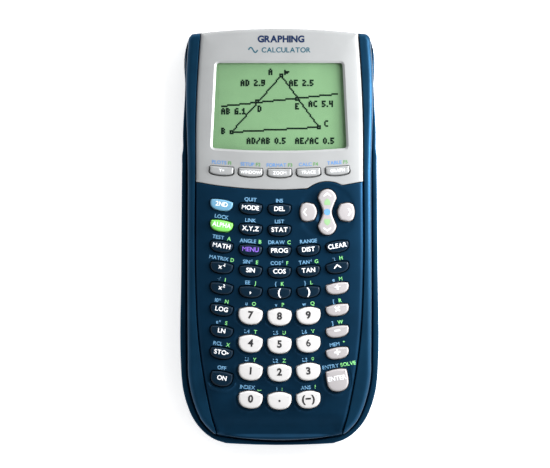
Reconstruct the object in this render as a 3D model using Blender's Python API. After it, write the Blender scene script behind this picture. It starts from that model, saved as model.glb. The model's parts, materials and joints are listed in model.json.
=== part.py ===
"""A graphing calculator lying on its back: +Z up through the keys, +Y towards the display end.

Sizes are in millimetres here and become metres as each mesh is made. The stack is worked out from the
rear feet upwards, the keypad from the faceplate's edges inwards, and every fit has a named clearance.
"""

import math

import bpy

MM = 0.001

# Overall sizes.
BODY_LENGTH = 190.0
BODY_WIDTH = 90.0

# Shells.
FOOT_HEIGHT = 0.8
FOOT_RADIUS = 3.0
SHELL_WALL = 1.8
RIM_WALL = 2.2
LEDGE_WIDTH = 2.2
GUIDE_LIP_HEIGHT = 2.3
GUIDE_GROOVE = 0.7
FRONT_WALL = 2.0
FRONT_LEDGE = 1.7
RAIL_DROP = 0.6
FRONT_END_INSET = 2.3
TOP_END_RADIUS = 310.0
FRONT_END_RADIUS = 150.0
REAR_END_RADIUS = 375.0

# Plates on top: the display bezel and the keypad faceplate share one crowned cap.
CAP_WALL = 1.7
CAP_SKIRT = 4.0
CAP_SKIRT_WALL = 1.3
SEAM_INSET = 6.7
BOUNDARY_RADIUS = 206.0
WINDOW_LIP = 1.1
WINDOW_THICKNESS = 1.0
WINDOW_OVERLAP = 2.0

# Clearances.
FIT_GAP = 0.3
PLATE_GAP = 0.3
KEY_HOLE_GAP = 0.35

# Layout along the length, measured down from the display end.
DISPLAY_TOP_MARGIN = 15.2
DISPLAY_HEIGHT = 40.1
DISPLAY_BOW = 1.1
DISPLAY_SIDE_MARGIN = 7.1
DISPLAY_TAPER = 1.9
DISPLAY_CORNER = 1.0
FUNCTION_ROW_DROP = 7.5
FUNCTION_KEY_HEIGHT = 4.1
BEZEL_LOWER_BORDER = 5.6
KEYPAD_TOP_MARGIN = 6.4
KEYPAD_END_MARGIN = 16.5

# Keypad.
COLUMNS = 5
SMALL_ROWS = 5
NUMBER_ROWS = 4
KEYPAD_SIDE_MARGIN = 6.6
KEY_GAP_ACROSS = 2.6
NUMBER_KEY_GAP_ACROSS = 2.1
FUNCTION_KEY_GAP_ACROSS = 2.2
SMALL_ROW_GAP = 4.1
NUMBER_ROW_GAP = 4.65
SIDE_ROW_GAP = 4.45
SIDE_COLUMN_RISE = 6.1
NUMBER_TO_SMALL_HEIGHT = 1.5
ON_TO_ENTER_HEIGHT = 0.68
ROW_RADIUS = 165.0
FUNCTION_ROW_RADIUS = 350.0
PAD_INNER_GAP = 3.9
PAD_SIDE_MARGIN = 4.1
PAD_TOP_BORDER = 1.83
PAD_KEY_GAP = 3.2
PAD_RIM = 3.3
PAD_DISH_DEPTH = 0.5
ROCKER_LOBE_WIDTH = 8.7
ROCKER_WAIST = 4.1
ROCKER_SIDE_GAP = 2.6
PAD_SIDE_KEY_SHARE = 0.4

# Key heights over the faceplate, and what is under it.
SMALL_KEY_RISE = 1.7
NUMBER_KEY_RISE = 2.4
PAD_RISE = 2.0
FUNCTION_KEY_RISE = 0.9
KEY_TRAVEL = 1.0
KEY_FLANGE = 0.5
KEY_SKIRT_DEPTH = 2.3
ROCKER_TILT_ROOM = 0.8
DOME_HEIGHT = 1.8
DOME_RADIUS = 2.6
DOME_CLEARANCE = 0.15
MAT_THICKNESS = 1.4
BOARD_THICKNESS = 1.6
BOARD_MARGIN = 1.2
ARM_OVERLAP = 5.0
ARM_STEP = 0.1
PROCESSOR_SIZE = 16.0
MEMORY_SIZE = 10.0
CHIP_HEIGHT = 1.5
USB_DEPTH = 9.0
LINK_DEPTH = 11.0

# Power and display.
CELL_DIAMETER = 10.5
CELL_LENGTH = 44.5
CELL_COUNT = 4
CELL_GAP = 0.3
CONTACT_DEPTH = 2.3
BAY_WALL = 1.2
BAY_ROOF = 1.0
BAY_TOP_MARGIN = 6.5
DOOR_THICKNESS = 1.6
DOOR_RIM = 0.8
HINGE_LUG_WIDTH = 5.0
HINGE_LUG_REACH = 1.4
HINGE_LUG_HEIGHT = 1.0
HINGE_LUG_ROOT = 0.5
LATCH_WIDTH = 14.0
LATCH_DEPTH = 7.0
LATCH_SLOT = 0.8
LATCH_GRIP_DEPTH = 0.5
BACKUP_CELL_DIAMETER = 16.0
BACKUP_CELL_THICKNESS = 1.6
BACKUP_COVER_LIP = 0.5
BACKUP_COVER_THICKNESS = 1.0
LCD_THICKNESS = 2.1
LCD_MARGIN = 1.8

# Screws and ports.
POST_RADIUS = 2.8
POST_RISE = 8.0
SCREW_HEAD_RADIUS = 2.5
SCREW_SHANK_RADIUS = 1.1
SCREW_HEAD_DEPTH = 2.4
USB_WIDTH = 7.4
USB_HEIGHT = 3.2
LINK_JACK_RADIUS = 1.8
USB_BLOCK_WALL = 0.6
LINK_BLOCK_WALL = 0.7
PORT_MARGIN = 0.4
PORT_SPACING = 2.1

HALF_LENGTH = BODY_LENGTH / 2
HALF_WIDTH = BODY_WIDTH / 2
BEYOND = 20.0

# Rounded edges, each from its flank inwards as (distance from the face, inset from the flank).
CAP_ROLL = [(1.6, 0.0), (0.7, 0.4), (0.2, 1.1), (0.0, 2.2)]
RAIL_ROLL = [(2.0, 0.0), (0.8, 0.3), (0.2, 0.9), (0.0, 1.8)]
REAR_ROLL = [(0.0, 2.2), (0.7, 0.9), (2.2, 0.0)]
KEY_ROLL = [(0.6, 0.1), (0.0, 0.7)]

# The stack, from the feet up.
rear_face = FOOT_HEIGHT
rear_inside = rear_face + SHELL_WALL
door_top = rear_face + DOOR_THICKNESS
cell_axis = door_top + FIT_GAP + CELL_DIAMETER / 2
bay_ceiling = cell_axis + CELL_DIAMETER / 2 + FIT_GAP
bay_top_face = bay_ceiling + BAY_ROOF
lcd_bottom = bay_top_face + FIT_GAP
lcd_top = lcd_bottom + LCD_THICKNESS
window_bottom = lcd_top + FIT_GAP
window_top = window_bottom + WINDOW_THICKNESS
cap_top = window_top + FIT_GAP + WINDOW_LIP
cap_under = cap_top - CAP_WALL
cap_foot = cap_top - CAP_SKIRT
ledge_top = cap_foot - FIT_GAP
ledge_bottom = ledge_top - FRONT_LEDGE
parting = (rear_face + cap_top) / 2
flange_top = cap_under - FIT_GAP
key_foot = flange_top - KEY_SKIRT_DEPTH
dome_top = key_foot - KEY_TRAVEL - DOME_CLEARANCE
mat_top = dome_top - DOME_HEIGHT
mat_bottom = mat_top - MAT_THICKNESS
board_top = mat_bottom - FIT_GAP
board_bottom = board_top - BOARD_THICKNESS

# The keypad grid.
seam_half = HALF_WIDTH - SEAM_INSET
column_pitch = (2 * (seam_half - KEYPAD_SIDE_MARGIN) + KEY_GAP_ACROSS) / COLUMNS
small_width = column_pitch - KEY_GAP_ACROSS
number_width = column_pitch - NUMBER_KEY_GAP_ACROSS
function_width = column_pitch - FUNCTION_KEY_GAP_ACROSS
display_top = HALF_LENGTH - DISPLAY_TOP_MARGIN
display_bottom = display_top - DISPLAY_HEIGHT
function_top = display_bottom - DISPLAY_BOW - FUNCTION_ROW_DROP
function_bottom = function_top - FUNCTION_KEY_HEIGHT
boundary_middle = function_bottom - BEZEL_LOWER_BORDER
keypad_top = boundary_middle - KEYPAD_TOP_MARGIN
keypad_bottom = -HALF_LENGTH + KEYPAD_END_MARGIN
row_gaps = SMALL_ROWS * SMALL_ROW_GAP + (NUMBER_ROWS - 1) * NUMBER_ROW_GAP
key_height_total = keypad_top - keypad_bottom - row_gaps
small_height = key_height_total / (SMALL_ROWS + NUMBER_ROWS * NUMBER_TO_SMALL_HEIGHT)
number_height = small_height * NUMBER_TO_SMALL_HEIGHT
small_row_y = [
    keypad_top - small_height / 2 - row * (small_height + SMALL_ROW_GAP) for row in range(SMALL_ROWS)
]
number_block_top = small_row_y[-1] - small_height / 2 - SMALL_ROW_GAP
number_row_y = [
    number_block_top - number_height / 2 - row * (number_height + NUMBER_ROW_GAP)
    for row in range(NUMBER_ROWS)
]


def row_lift(x):
    """How far a row's arc has risen towards the display at a distance x from the middle."""
    return ROW_RADIUS - math.sqrt(ROW_RADIUS**2 - x**2)


side_lift = row_lift(2 * column_pitch)
side_top = small_row_y[-1] + side_lift - small_height / 2
side_bottom = keypad_bottom + side_lift + SIDE_COLUMN_RISE
enter_height = side_top - side_bottom - 3 * small_height - 4 * SIDE_ROW_GAP
on_height = enter_height * ON_TO_ENTER_HEIGHT
enter_y = side_bottom + enter_height / 2
side_row_y = [
    side_top - SIDE_ROW_GAP - small_height / 2 - row * (small_height + SIDE_ROW_GAP) for row in range(3)
]

# The arrow pad: a rocker between two keys, in a round dish.
pad_left = small_width / 2 + PAD_INNER_GAP
pad_right = seam_half - PAD_SIDE_MARGIN
pad_x = (pad_left + pad_right) / 2
pad_top = function_bottom - PAD_TOP_BORDER - PAD_RIM
pad_bottom = small_row_y[2] + row_lift(pad_x) + small_height / 2 + PAD_KEY_GAP
pad_y = (pad_top + pad_bottom) / 2
pad_reach = (pad_top - pad_bottom) / 2
pad_radius = pad_reach + PAD_RIM
pad_side_width = (pad_right - pad_left - ROCKER_WAIST) / 2 - ROCKER_SIDE_GAP
pad_side_height = 2 * pad_reach * PAD_SIDE_KEY_SHARE
pad_side_x = ROCKER_WAIST / 2 + ROCKER_SIDE_GAP + pad_side_width / 2

# The battery compartment: a deep bay for the cells beside a shallow one for the backup cell.
cell_pitch = CELL_DIAMETER + CELL_GAP
bay_width = CELL_COUNT * cell_pitch + 2 * FIT_GAP
bay_length = CELL_LENGTH + 2 * CONTACT_DEPTH
backup_cover_radius = BACKUP_CELL_DIAMETER / 2 + BACKUP_COVER_LIP
backup_width = 2 * (backup_cover_radius + FIT_GAP)
compartment_half = (bay_width + BAY_WALL + backup_width) / 2
bay_left = -compartment_half
bay_right = bay_left + bay_width
backup_left = bay_right + BAY_WALL
bay_top = HALF_LENGTH - BAY_TOP_MARGIN
bay_bottom = bay_top - bay_length
bay_y = (bay_top + bay_bottom) / 2
backup_x = backup_left + backup_width / 2
shelf_bottom = door_top + 2 * FIT_GAP + BACKUP_COVER_THICKNESS
shelf_top = shelf_bottom + BAY_WALL
door_half = compartment_half + DOOR_RIM
door_top_y = bay_top + DOOR_RIM
door_bottom_y = bay_bottom - DOOR_RIM
board_half = 2 * column_pitch + small_width / 2 + BOARD_MARGIN
keyboard_top = function_top + 2 * BOARD_MARGIN
port_y = bay_top
arm_right = compartment_half + BAY_WALL
link_half = LINK_JACK_RADIUS + LINK_BLOCK_WALL
usb_half = USB_WIDTH / 2 + USB_BLOCK_WALL
link_x = arm_right - link_half - PORT_MARGIN
usb_x = link_x - link_half - usb_half - PORT_SPACING
port_z = (shelf_top + board_bottom) / 2 + FIT_GAP


def clear_scene():
    for item in list(bpy.data.objects):
        bpy.data.objects.remove(item, do_unlink=True)


FINISHES = {
    "silver_plastic": ((0.52, 0.54, 0.56), 0.42, 0.35),
    "navy_plastic": ((0.011, 0.045, 0.09), 0.38, 0.0),
    "clear_window": ((0.75, 0.85, 0.8), 0.08, 0.0),
    "lcd_glass": ((0.26, 0.46, 0.26), 0.2, 0.0),
    "white_key": ((0.87, 0.85, 0.85), 0.45, 0.0),
    "grey_key": ((0.55, 0.52, 0.54), 0.45, 0.0),
    "dark_key": ((0.008, 0.027, 0.055), 0.4, 0.0),
    "blue_key": ((0.19, 0.46, 0.68), 0.4, 0.0),
    "green_key": ((0.28, 0.85, 0.16), 0.4, 0.0),
    "circuit_green": ((0.02, 0.16, 0.06), 0.5, 0.0),
    "silicone": ((0.4, 0.42, 0.42), 0.7, 0.0),
    "cell_jacket": ((0.06, 0.06, 0.07), 0.3, 0.6),
    "backup_cover": ((0.6, 0.6, 0.58), 0.3, 0.8),
}


def paint(body, finish):
    """Gives a body its own Principled material in one of the finishes."""
    color, roughness, metallic = FINISHES[finish]
    material = bpy.data.materials.new(f"{body.name}_{finish}")
    material.use_nodes = True
    shader = material.node_tree.nodes["Principled BSDF"]
    shader.inputs["Base Color"].default_value = (*color, 1.0)
    shader.inputs["Roughness"].default_value = roughness
    shader.inputs["Metallic"].default_value = metallic
    body.data.materials.append(material)


def mesh_object(name, points, faces):
    mesh = bpy.data.meshes.new(name)
    mesh.from_pydata([(x * MM, y * MM, z * MM) for x, y, z in points], [], faces)
    mesh.validate()
    mesh.shade_smooth()
    mesh.set_sharp_from_angle(angle=math.radians(35))
    body = bpy.data.objects.new(name, mesh)
    bpy.context.scene.collection.objects.link(body)
    return body


def stacked(rings):
    """Points and faces of a closed solid from rings, which are (outline, z) from the bottom up."""
    count = len(rings[0][0])
    points = [(x, y, z) for outline, z in rings for x, y in outline]
    faces = [tuple(reversed(range(count)))]
    for level in range(len(rings) - 1):
        low, high = level * count, (level + 1) * count
        for i in range(count):
            j = (i + 1) % count
            faces.append((low + i, low + j, high + j, high + i))
    faces.append(tuple(range((len(rings) - 1) * count, len(rings) * count)))
    return points, faces


def solid(name, rings, finish=None):
    body = mesh_object(name, *stacked(rings))
    if finish:
        paint(body, finish)
    return body


def group(name, ring_lists):
    """Several separate closed solids in one mesh, for a Boolean that uses them all."""
    points, faces = [], []
    for rings in ring_lists:
        more_points, more_faces = stacked(rings)
        start = len(points)
        points += more_points
        faces += [tuple(start + i for i in face) for face in more_faces]
    return mesh_object(name, points, faces)


def helper(body):
    body.hide_render = True
    body.display_type = "WIRE"
    return body


def boolean(body, operation, tool):
    modifier = body.modifiers.new(tool.name, "BOOLEAN")
    modifier.operation = operation
    modifier.solver = "EXACT"
    modifier.object = helper(tool)


def cut(body, name, ring_lists):
    boolean(body, "DIFFERENCE", group(name, ring_lists))


def join(body, name, ring_lists):
    boolean(body, "UNION", group(name, ring_lists))


def box(x0, x1, y0, y1, z0, z1):
    outline = [(x0, y0), (x1, y0), (x1, y1), (x0, y1)]
    return [(outline, z0), (outline, z1)]


def circle(x, y, radius, sides):
    angles = [2 * math.pi * (i + 0.5) / sides for i in range(sides)]
    return [(x + radius * math.cos(a), y + radius * math.sin(a)) for a in angles]


def disc(x, y, radius, z0, z1, sides=16):
    outline = circle(x, y, radius, sides)
    return [(outline, z0), (outline, z1)]


def offset(outline, distance):
    """Moves every edge of a counterclockwise outline inwards by a distance, outwards if negative."""
    moved = []
    count = len(outline)
    for i, (x, y) in enumerate(outline):
        ax, ay = outline[i - 1]
        bx, by = outline[(i + 1) % count]
        into = math.atan2(y - ay, x - ax)
        out = math.atan2(by - y, bx - x)
        turn = math.remainder(out - into, 2 * math.pi)
        middle = into + turn / 2 + math.pi / 2
        reach = distance / math.cos(turn / 2)
        moved.append((x + reach * math.cos(middle), y + reach * math.sin(middle)))
    return moved


def inner_outline(outline, distance):
    """Like offset, for a distance longer than some edges: an edge that would turn back is left out."""
    kept = list(range(len(outline)))
    while True:
        lines = []
        for i in kept:
            x, y = outline[i]
            nx, ny = outline[(i + 1) % len(outline)]
            length = math.hypot(nx - x, ny - y)
            dx, dy = (nx - x) / length, (ny - y) / length
            lines.append((x - dy * distance, y + dx * distance, dx, dy))
        corners = []
        for k, (x, y, dx, dy) in enumerate(lines):
            px, py, pdx, pdy = lines[k - 1]
            cross = pdx * dy - pdy * dx
            along = ((x - px) * dy - (y - py) * dx) / cross if abs(cross) > 1e-6 else 0.0
            corners.append((px + pdx * along, py + pdy * along) if abs(cross) > 1e-6 else (x, y))
        lengths = []
        for k, (x, y, dx, dy) in enumerate(lines):
            nx, ny = corners[(k + 1) % len(corners)]
            lengths.append((nx - corners[k][0]) * dx + (ny - corners[k][1]) * dy)
        shortest = min(range(len(lengths)), key=lengths.__getitem__)
        if lengths[shortest] > 0.01:
            return corners
        kept.pop(shortest)


def moved(outline, x, y, angle=0.0):
    c, s = math.cos(angle), math.sin(angle)
    return [(x + px * c - py * s, y + px * s + py * c) for px, py in outline]


def top_end(x):
    """The crowned end of the body beyond the display."""
    return HALF_LENGTH - x**2 / (2 * TOP_END_RADIUS)


def front_end(x):
    """The crowned end of the front housing and the faceplate."""
    return -HALF_LENGTH + FRONT_END_INSET + x**2 / (2 * FRONT_END_RADIUS)


def rear_end(x):
    return -HALF_LENGTH + x**2 / (2 * REAR_END_RADIUS)


def body_outline(end, lower, upper):
    """A closed outline, counterclockwise: the end arc, the right side upwards, the top arc, and the left.

    lower and upper give the side as (inset from the body's half width, distance from its nearer end).
    """
    low_x = HALF_WIDTH - lower[0][0]
    high_x = HALF_WIDTH - upper[-1][0]
    right = [(low_x * i / 3, end(low_x * i / 3)) for i in range(3)]
    right += [(HALF_WIDTH - inset, -HALF_LENGTH + rise) for inset, rise in lower]
    right += [(HALF_WIDTH - inset, HALF_LENGTH - depth) for inset, depth in upper]
    right += [(high_x * i / 4, top_end(high_x * i / 4)) for i in (3, 2, 1, 0)]
    return right + [(-x, y) for x, y in reversed(right[1:-1])]


REAR_LOWER = [
    (20.5, 0.8), (15.3, 2.6), (11.7, 4.9), (8.5, 8.0), (5.8, 11.7), (2.8, 18.5), (1.0, 25.4), (0.3, 31.0),
    (0.0, 36.0),
]
REAR_UPPER = [
    (0.1, 110.0), (0.5, 62.0), (0.55, 57.5), (0.9, 55.0), (0.9, 49.0), (1.9, 28.0), (2.1, 9.4), (3.4, 7.2),
    (3.7, 4.4), (5.2, 2.6),
]
FRONT_LOWER = [
    (16.0, 5.1), (12.7, 7.6), (9.8, 10.9), (7.2, 16.0), (5.4, 21.3), (3.9, 28.0), (3.3, 33.0), (3.2, 40.0),
]
FRONT_UPPER = [(3.2, 70.0), (3.4, 7.2), (3.7, 4.4), (5.2, 2.6)]
SEAM_LOWER = [
    (16.4, 5.03), (14.6, 11.0), (12.3, 21.0), (10.3, 32.0), (8.8, 42.0), (7.7, 53.0), (SEAM_INSET, 75.0),
]
SEAM_UPPER = [(SEAM_INSET, 62.0), (SEAM_INSET + 0.1, 42.0), (7.5, 24.0), (8.4, 10.0), (9.05, 2.1)]

rear_outline = body_outline(rear_end, REAR_LOWER, REAR_UPPER)
front_outline = body_outline(front_end, FRONT_LOWER, FRONT_UPPER)
seam_outline = body_outline(front_end, SEAM_LOWER, SEAM_UPPER)


def seam_cutter_outline():
    """The seam's sides, carried on past both ends, so that only the rails stay beside the plates."""
    right = [(HALF_WIDTH - SEAM_LOWER[0][0], -HALF_LENGTH - BEYOND)]
    right += [(HALF_WIDTH - inset, -HALF_LENGTH + rise) for inset, rise in SEAM_LOWER]
    right += [(HALF_WIDTH - inset, HALF_LENGTH - depth) for inset, depth in SEAM_UPPER]
    right.append((HALF_WIDTH - SEAM_UPPER[-1][0], HALF_LENGTH + BEYOND))
    return right + [(-x, y) for x, y in reversed(right)]


def boundary_curve(x):
    return boundary_middle + x**2 / (2 * BOUNDARY_RADIUS)


def boundary_points(shift):
    """The line between bezel and faceplate, from left to right, arching over the arrow pad."""
    radius = pad_radius + shift
    angles = [math.radians(step) for step in range(180, -1, -1)]
    arch = [(pad_x + radius * math.cos(a), pad_y + radius * math.sin(a)) for a in angles]
    arch = [(x, y) for x, y in arch if y > boundary_curve(x) + shift]
    step = max(1, (len(arch) - 1) // 9)
    arch = arch[:1] + arch[step:-step:step] + arch[-1:]
    first, last = arch[0][0], arch[-1][0]
    spread = [-BEYOND - HALF_WIDTH + i * (HALF_WIDTH + BEYOND + first) / 7 for i in range(7)]
    left = [(x, boundary_curve(x) + shift) for x in spread]
    right_end = HALF_WIDTH + BEYOND
    right = [(x, boundary_curve(x) + shift) for x in ((last + right_end) / 2, right_end)]
    return left + arch + right


def key_shape(width, height, crown, shoulder=0.62, squareness=0.84):
    """A key seen from above: a crowned top edge and a rounded lower side, about its own middle.

    The lower side is a superellipse hung from the shoulders, whose height is a share of the key's.
    """
    half = width / 2
    top = height / 2 - crown
    hang = -height / 2 + height * shoulder
    outline = []
    lower_steps = 7
    for i in range(lower_steps + 1):
        a = math.pi * i / lower_steps
        x = -half * math.copysign(abs(math.cos(a)) ** squareness, math.cos(a))
        y = hang - height * shoulder * math.sin(a) ** squareness
        outline.append((x, y))
    for share in (1.0, 0.36, -0.36, -1.0):
        outline.append((0.96 * half * share, top + crown * (1 - share**2)))
    return outline


def key_rings(shape, flange_height, top):
    """A keycap over the faceplate, on a flanged foot that the faceplate holds down."""
    foot = offset(shape, -KEY_FLANGE)
    rings = [(foot, key_foot), (foot, flange_height), (shape, flange_height)]
    return rings + [(offset(shape, inset), top - depth) for depth, inset in KEY_ROLL]


key_hole_rings = []
function_hole_rings = []
dome_places = []


def make_key(name, shape, x, y, angle, rise, finish, holes):
    """One key, with its origin on its own axis, and its hole and dome noted for later."""
    body = solid(name, key_rings(shape, flange_top, cap_top + rise), finish)
    body.location = (x * MM, y * MM, 0)
    body.rotation_euler = (0, 0, angle)
    hole = moved(offset(shape, -KEY_HOLE_GAP), x, y, angle)
    holes.append([(hole, flange_top - 1), (hole, cap_top + BEYOND)])
    dome_places.append((x, y))
    return body


KEY_NAMES = [
    ["shift", "mode", "delete", None, None],
    ["alpha", "variable", "statistics", None, None],
    ["math", "applications", "program", "distribution", "clear"],
    ["inverse", "sine", "cosine", "tangent", "power"],
    ["square", "comma", "open_bracket", "close_bracket", "divide"],
    ["logarithm", "7", "8", "9", "multiply"],
    ["natural_logarithm", "4", "5", "6", "subtract"],
    ["store", "1", "2", "3", "add"],
    ["on", "0", "point", "negative", "enter"],
]
KEY_FINISHES = {
    "shift": "blue_key", "alpha": "green_key", "divide": "grey_key", "multiply": "grey_key",
    "subtract": "grey_key", "add": "grey_key", "enter": "grey_key",
}


def make_keypad():
    small = key_shape(small_width, small_height, 0.6)
    number = key_shape(number_width, number_height, number_height * 0.17, 0.66, 0.8)
    enter = key_shape(small_width - 0.6, enter_height, 0.6, 0.5)
    on = key_shape(small_width - 0.4, on_height, 0.6)
    for row, names in enumerate(KEY_NAMES):
        for column, name in enumerate(names):
            if name is None:
                continue
            x = (column - COLUMNS // 2) * column_pitch
            angle = math.asin(x / ROW_RADIUS)
            on_side = column in (0, COLUMNS - 1)
            shape, rise = small, SMALL_KEY_RISE
            finish = KEY_FINISHES.get(name, "dark_key")
            if row < SMALL_ROWS:
                y = small_row_y[row] + row_lift(x)
            elif on_side and row < SMALL_ROWS + 3:
                y = side_row_y[row - SMALL_ROWS]
            elif name == "on":
                shape, y = on, enter_y + (enter_height - on_height) / 2 - SMALL_ROW_GAP / 4
            elif name == "enter":
                shape, y, rise = enter, enter_y, NUMBER_KEY_RISE
            else:
                shape, y, rise, finish = number, 0, NUMBER_KEY_RISE, "white_key"
                y = number_row_y[row - SMALL_ROWS] + row_lift(x)
            label = f"number_key_{name}" if name.isdigit() else f"{name}_key"
            make_key(label, shape, x, y, angle, rise, finish, key_hole_rings)


def make_function_keys():
    half_w, half_h = function_width / 2, FUNCTION_KEY_HEIGHT / 2
    shape = [(-half_w, half_h), (-half_w, -half_h * 0.35)]
    for i in range(1, 8):
        a = math.pi * (1 + i / 8)
        shape.append((half_w * math.cos(a), -half_h * 0.35 + half_h * 0.65 * math.sin(a)))
    shape += [(half_w, -half_h * 0.35), (half_w, half_h)]
    for column in range(COLUMNS):
        x = (column - COLUMNS // 2) * column_pitch
        y = (function_top + function_bottom) / 2 + x**2 / (2 * FUNCTION_ROW_RADIUS)
        angle = x / FUNCTION_ROW_RADIUS
        name = f"function_key_{column + 1}"
        make_key(name, shape, x, y, angle, FUNCTION_KEY_RISE, "silver_plastic", function_hole_rings)


def rocker_shape():
    """A dog bone along Y: two round lobes joined by a narrow waist."""
    half_lobe, half_waist = ROCKER_LOBE_WIDTH / 2, ROCKER_WAIST / 2
    quarter = [
        (half_waist, 0.0),
        (half_waist + 0.12 * ROCKER_LOBE_WIDTH, pad_reach * 0.33),
        (half_lobe, pad_reach * 0.6),
        (half_lobe * 0.82, pad_reach * 0.8),
        (half_lobe * 0.45, pad_reach * 0.95),
        (0.0, pad_reach),
    ]
    up = quarter + [(-x, y) for x, y in reversed(quarter[:-1])]
    return up + [(-x, -y) for x, y in up[1:-1]]


def make_pad():
    """The left and right arrow keys, and the rocker, whose origin is on its tilt axis."""
    side = pad_side_width / 2
    tall = pad_side_height / 2
    left = [
        (-side * 0.78, tall * 0.84), (-side * 0.94, tall * 0.45), (-side, 0), (-side * 0.94, -tall * 0.45),
        (-side * 0.78, -tall * 0.84), (-side * 0.4, -tall), (side * 0.62, -tall * 0.88),
        (side * 0.88, -tall * 0.5), (side, 0), (side * 0.88, tall * 0.5), (side * 0.62, tall * 0.88),
        (-side * 0.4, tall),
    ]
    right = [(-x, y) for x, y in reversed(left)]
    make_key("arrow_key_left", left, pad_x - pad_side_x, pad_y, 0.0, PAD_RISE, "grey_key", key_hole_rings)
    make_key("arrow_key_right", right, pad_x + pad_side_x, pad_y, 0.0, PAD_RISE, "grey_key", key_hole_rings)
    shape = rocker_shape()
    axis = (cap_top + cap_under) / 2
    rings = [
        (outline, z - axis)
        for outline, z in key_rings(shape, flange_top - ROCKER_TILT_ROOM, cap_top + PAD_RISE)
    ]
    body = solid("arrow_rocker_up_down", rings, "grey_key")
    body.location = (pad_x * MM, pad_y * MM, axis * MM)
    hole = moved(offset(shape, -KEY_HOLE_GAP), pad_x, pad_y)
    key_hole_rings.append([(hole, flange_top - 1), (hole, cap_top + BEYOND)])
    dome_places.extend([(pad_x, pad_y - pad_reach * 0.62), (pad_x, pad_y + pad_reach * 0.62)])


def crowned_cap(name, finish):
    """The whole top plate: a flat top that rolls down to a skirt round its edge, hollow underneath."""
    outline = offset(seam_outline, PLATE_GAP / 2)
    rings = [(outline, cap_foot)]
    rings += [(offset(outline, inset), cap_top - depth) for depth, inset in CAP_ROLL]
    body = solid(name, rings, finish)
    inside = inner_outline(outline, CAP_SKIRT_WALL)
    cut(body, f"{name}_hollow", [[(inside, cap_foot - BEYOND), (inside, cap_under)]])
    return body


def display_outline(grow):
    """The display opening: its sides spread a little downwards and its lower edge bows out."""
    half_low = seam_half - DISPLAY_SIDE_MARGIN
    half_high = half_low - DISPLAY_TAPER
    r = DISPLAY_CORNER
    right = [
        (0, display_bottom - DISPLAY_BOW), (half_low * 0.5, display_bottom - DISPLAY_BOW * 0.78),
        (half_low - r, display_bottom), (half_low, display_bottom + r), (half_high, display_top - r),
        (half_high - r, display_top),
    ]
    left = [(-x, y) for x, y in reversed(right[1:])]
    return offset(right + left, -grow)


def make_bezel():
    body = crowned_cap("display_bezel", "silver_plastic")
    line = boundary_points(PLATE_GAP / 2)
    away = [(HALF_WIDTH + BEYOND, -HALF_LENGTH - BEYOND), (-HALF_WIDTH - BEYOND, -HALF_LENGTH - BEYOND)]
    region = list(reversed(line + away))
    cut(body, "bezel_end", [[(region, cap_foot - BEYOND), (region, cap_top + BEYOND)]])
    half = seam_half - DISPLAY_SIDE_MARGIN + WINDOW_OVERLAP + FIT_GAP
    low = display_bottom - DISPLAY_BOW - WINDOW_OVERLAP - FIT_GAP
    high = display_top + WINDOW_OVERLAP + FIT_GAP
    cut(body, "window_seat", [box(-half, half, low, high, cap_foot, cap_top - WINDOW_LIP)])
    opening = [(display_outline(-1.2), cap_under - 0.2), (display_outline(0.2), cap_top + 0.2)]
    cut(body, "display_opening", [opening])
    cut(body, "function_key_slots", function_hole_rings)


def make_faceplate():
    body = crowned_cap("keypad_faceplate", "navy_plastic")
    line = boundary_points(-PLATE_GAP / 2)
    away = [(HALF_WIDTH + BEYOND, HALF_LENGTH + BEYOND), (-HALF_WIDTH - BEYOND, HALF_LENGTH + BEYOND)]
    region = line + away
    cut(body, "faceplate_end", [[(region, cap_foot - BEYOND), (region, cap_top + BEYOND)]])
    dish = circle(pad_x, pad_y, pad_radius - 1.2, 24)
    cut(body, "pad_dish", [[(dish, cap_top - PAD_DISH_DEPTH), (dish, cap_top + BEYOND)]])
    cut(body, "key_holes", key_hole_rings)


def make_front_housing():
    """A frame round the body with a ledge for the top plates, and rails beside them."""
    low = parting + FIT_GAP
    high = cap_top - RAIL_DROP
    rings = [(front_outline, low)]
    rings += [(offset(front_outline, inset), high - depth) for depth, inset in RAIL_ROLL]
    body = solid("front_housing", rings, "navy_plastic")
    plates = inner_outline(seam_cutter_outline(), -PLATE_GAP / 2)
    cut(body, "plate_seat", [[(plates, ledge_top), (plates, cap_top + BEYOND)]])
    inside = inner_outline(front_outline, FRONT_WALL)
    cut(body, "front_hollow", [[(inside, low - BEYOND), (inside, ledge_bottom)]])
    through = inner_outline(seam_outline, CAP_SKIRT_WALL + FIT_GAP)
    cut(body, "front_through", [[(through, ledge_bottom - 1), (through, cap_top + BEYOND)]])


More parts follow.
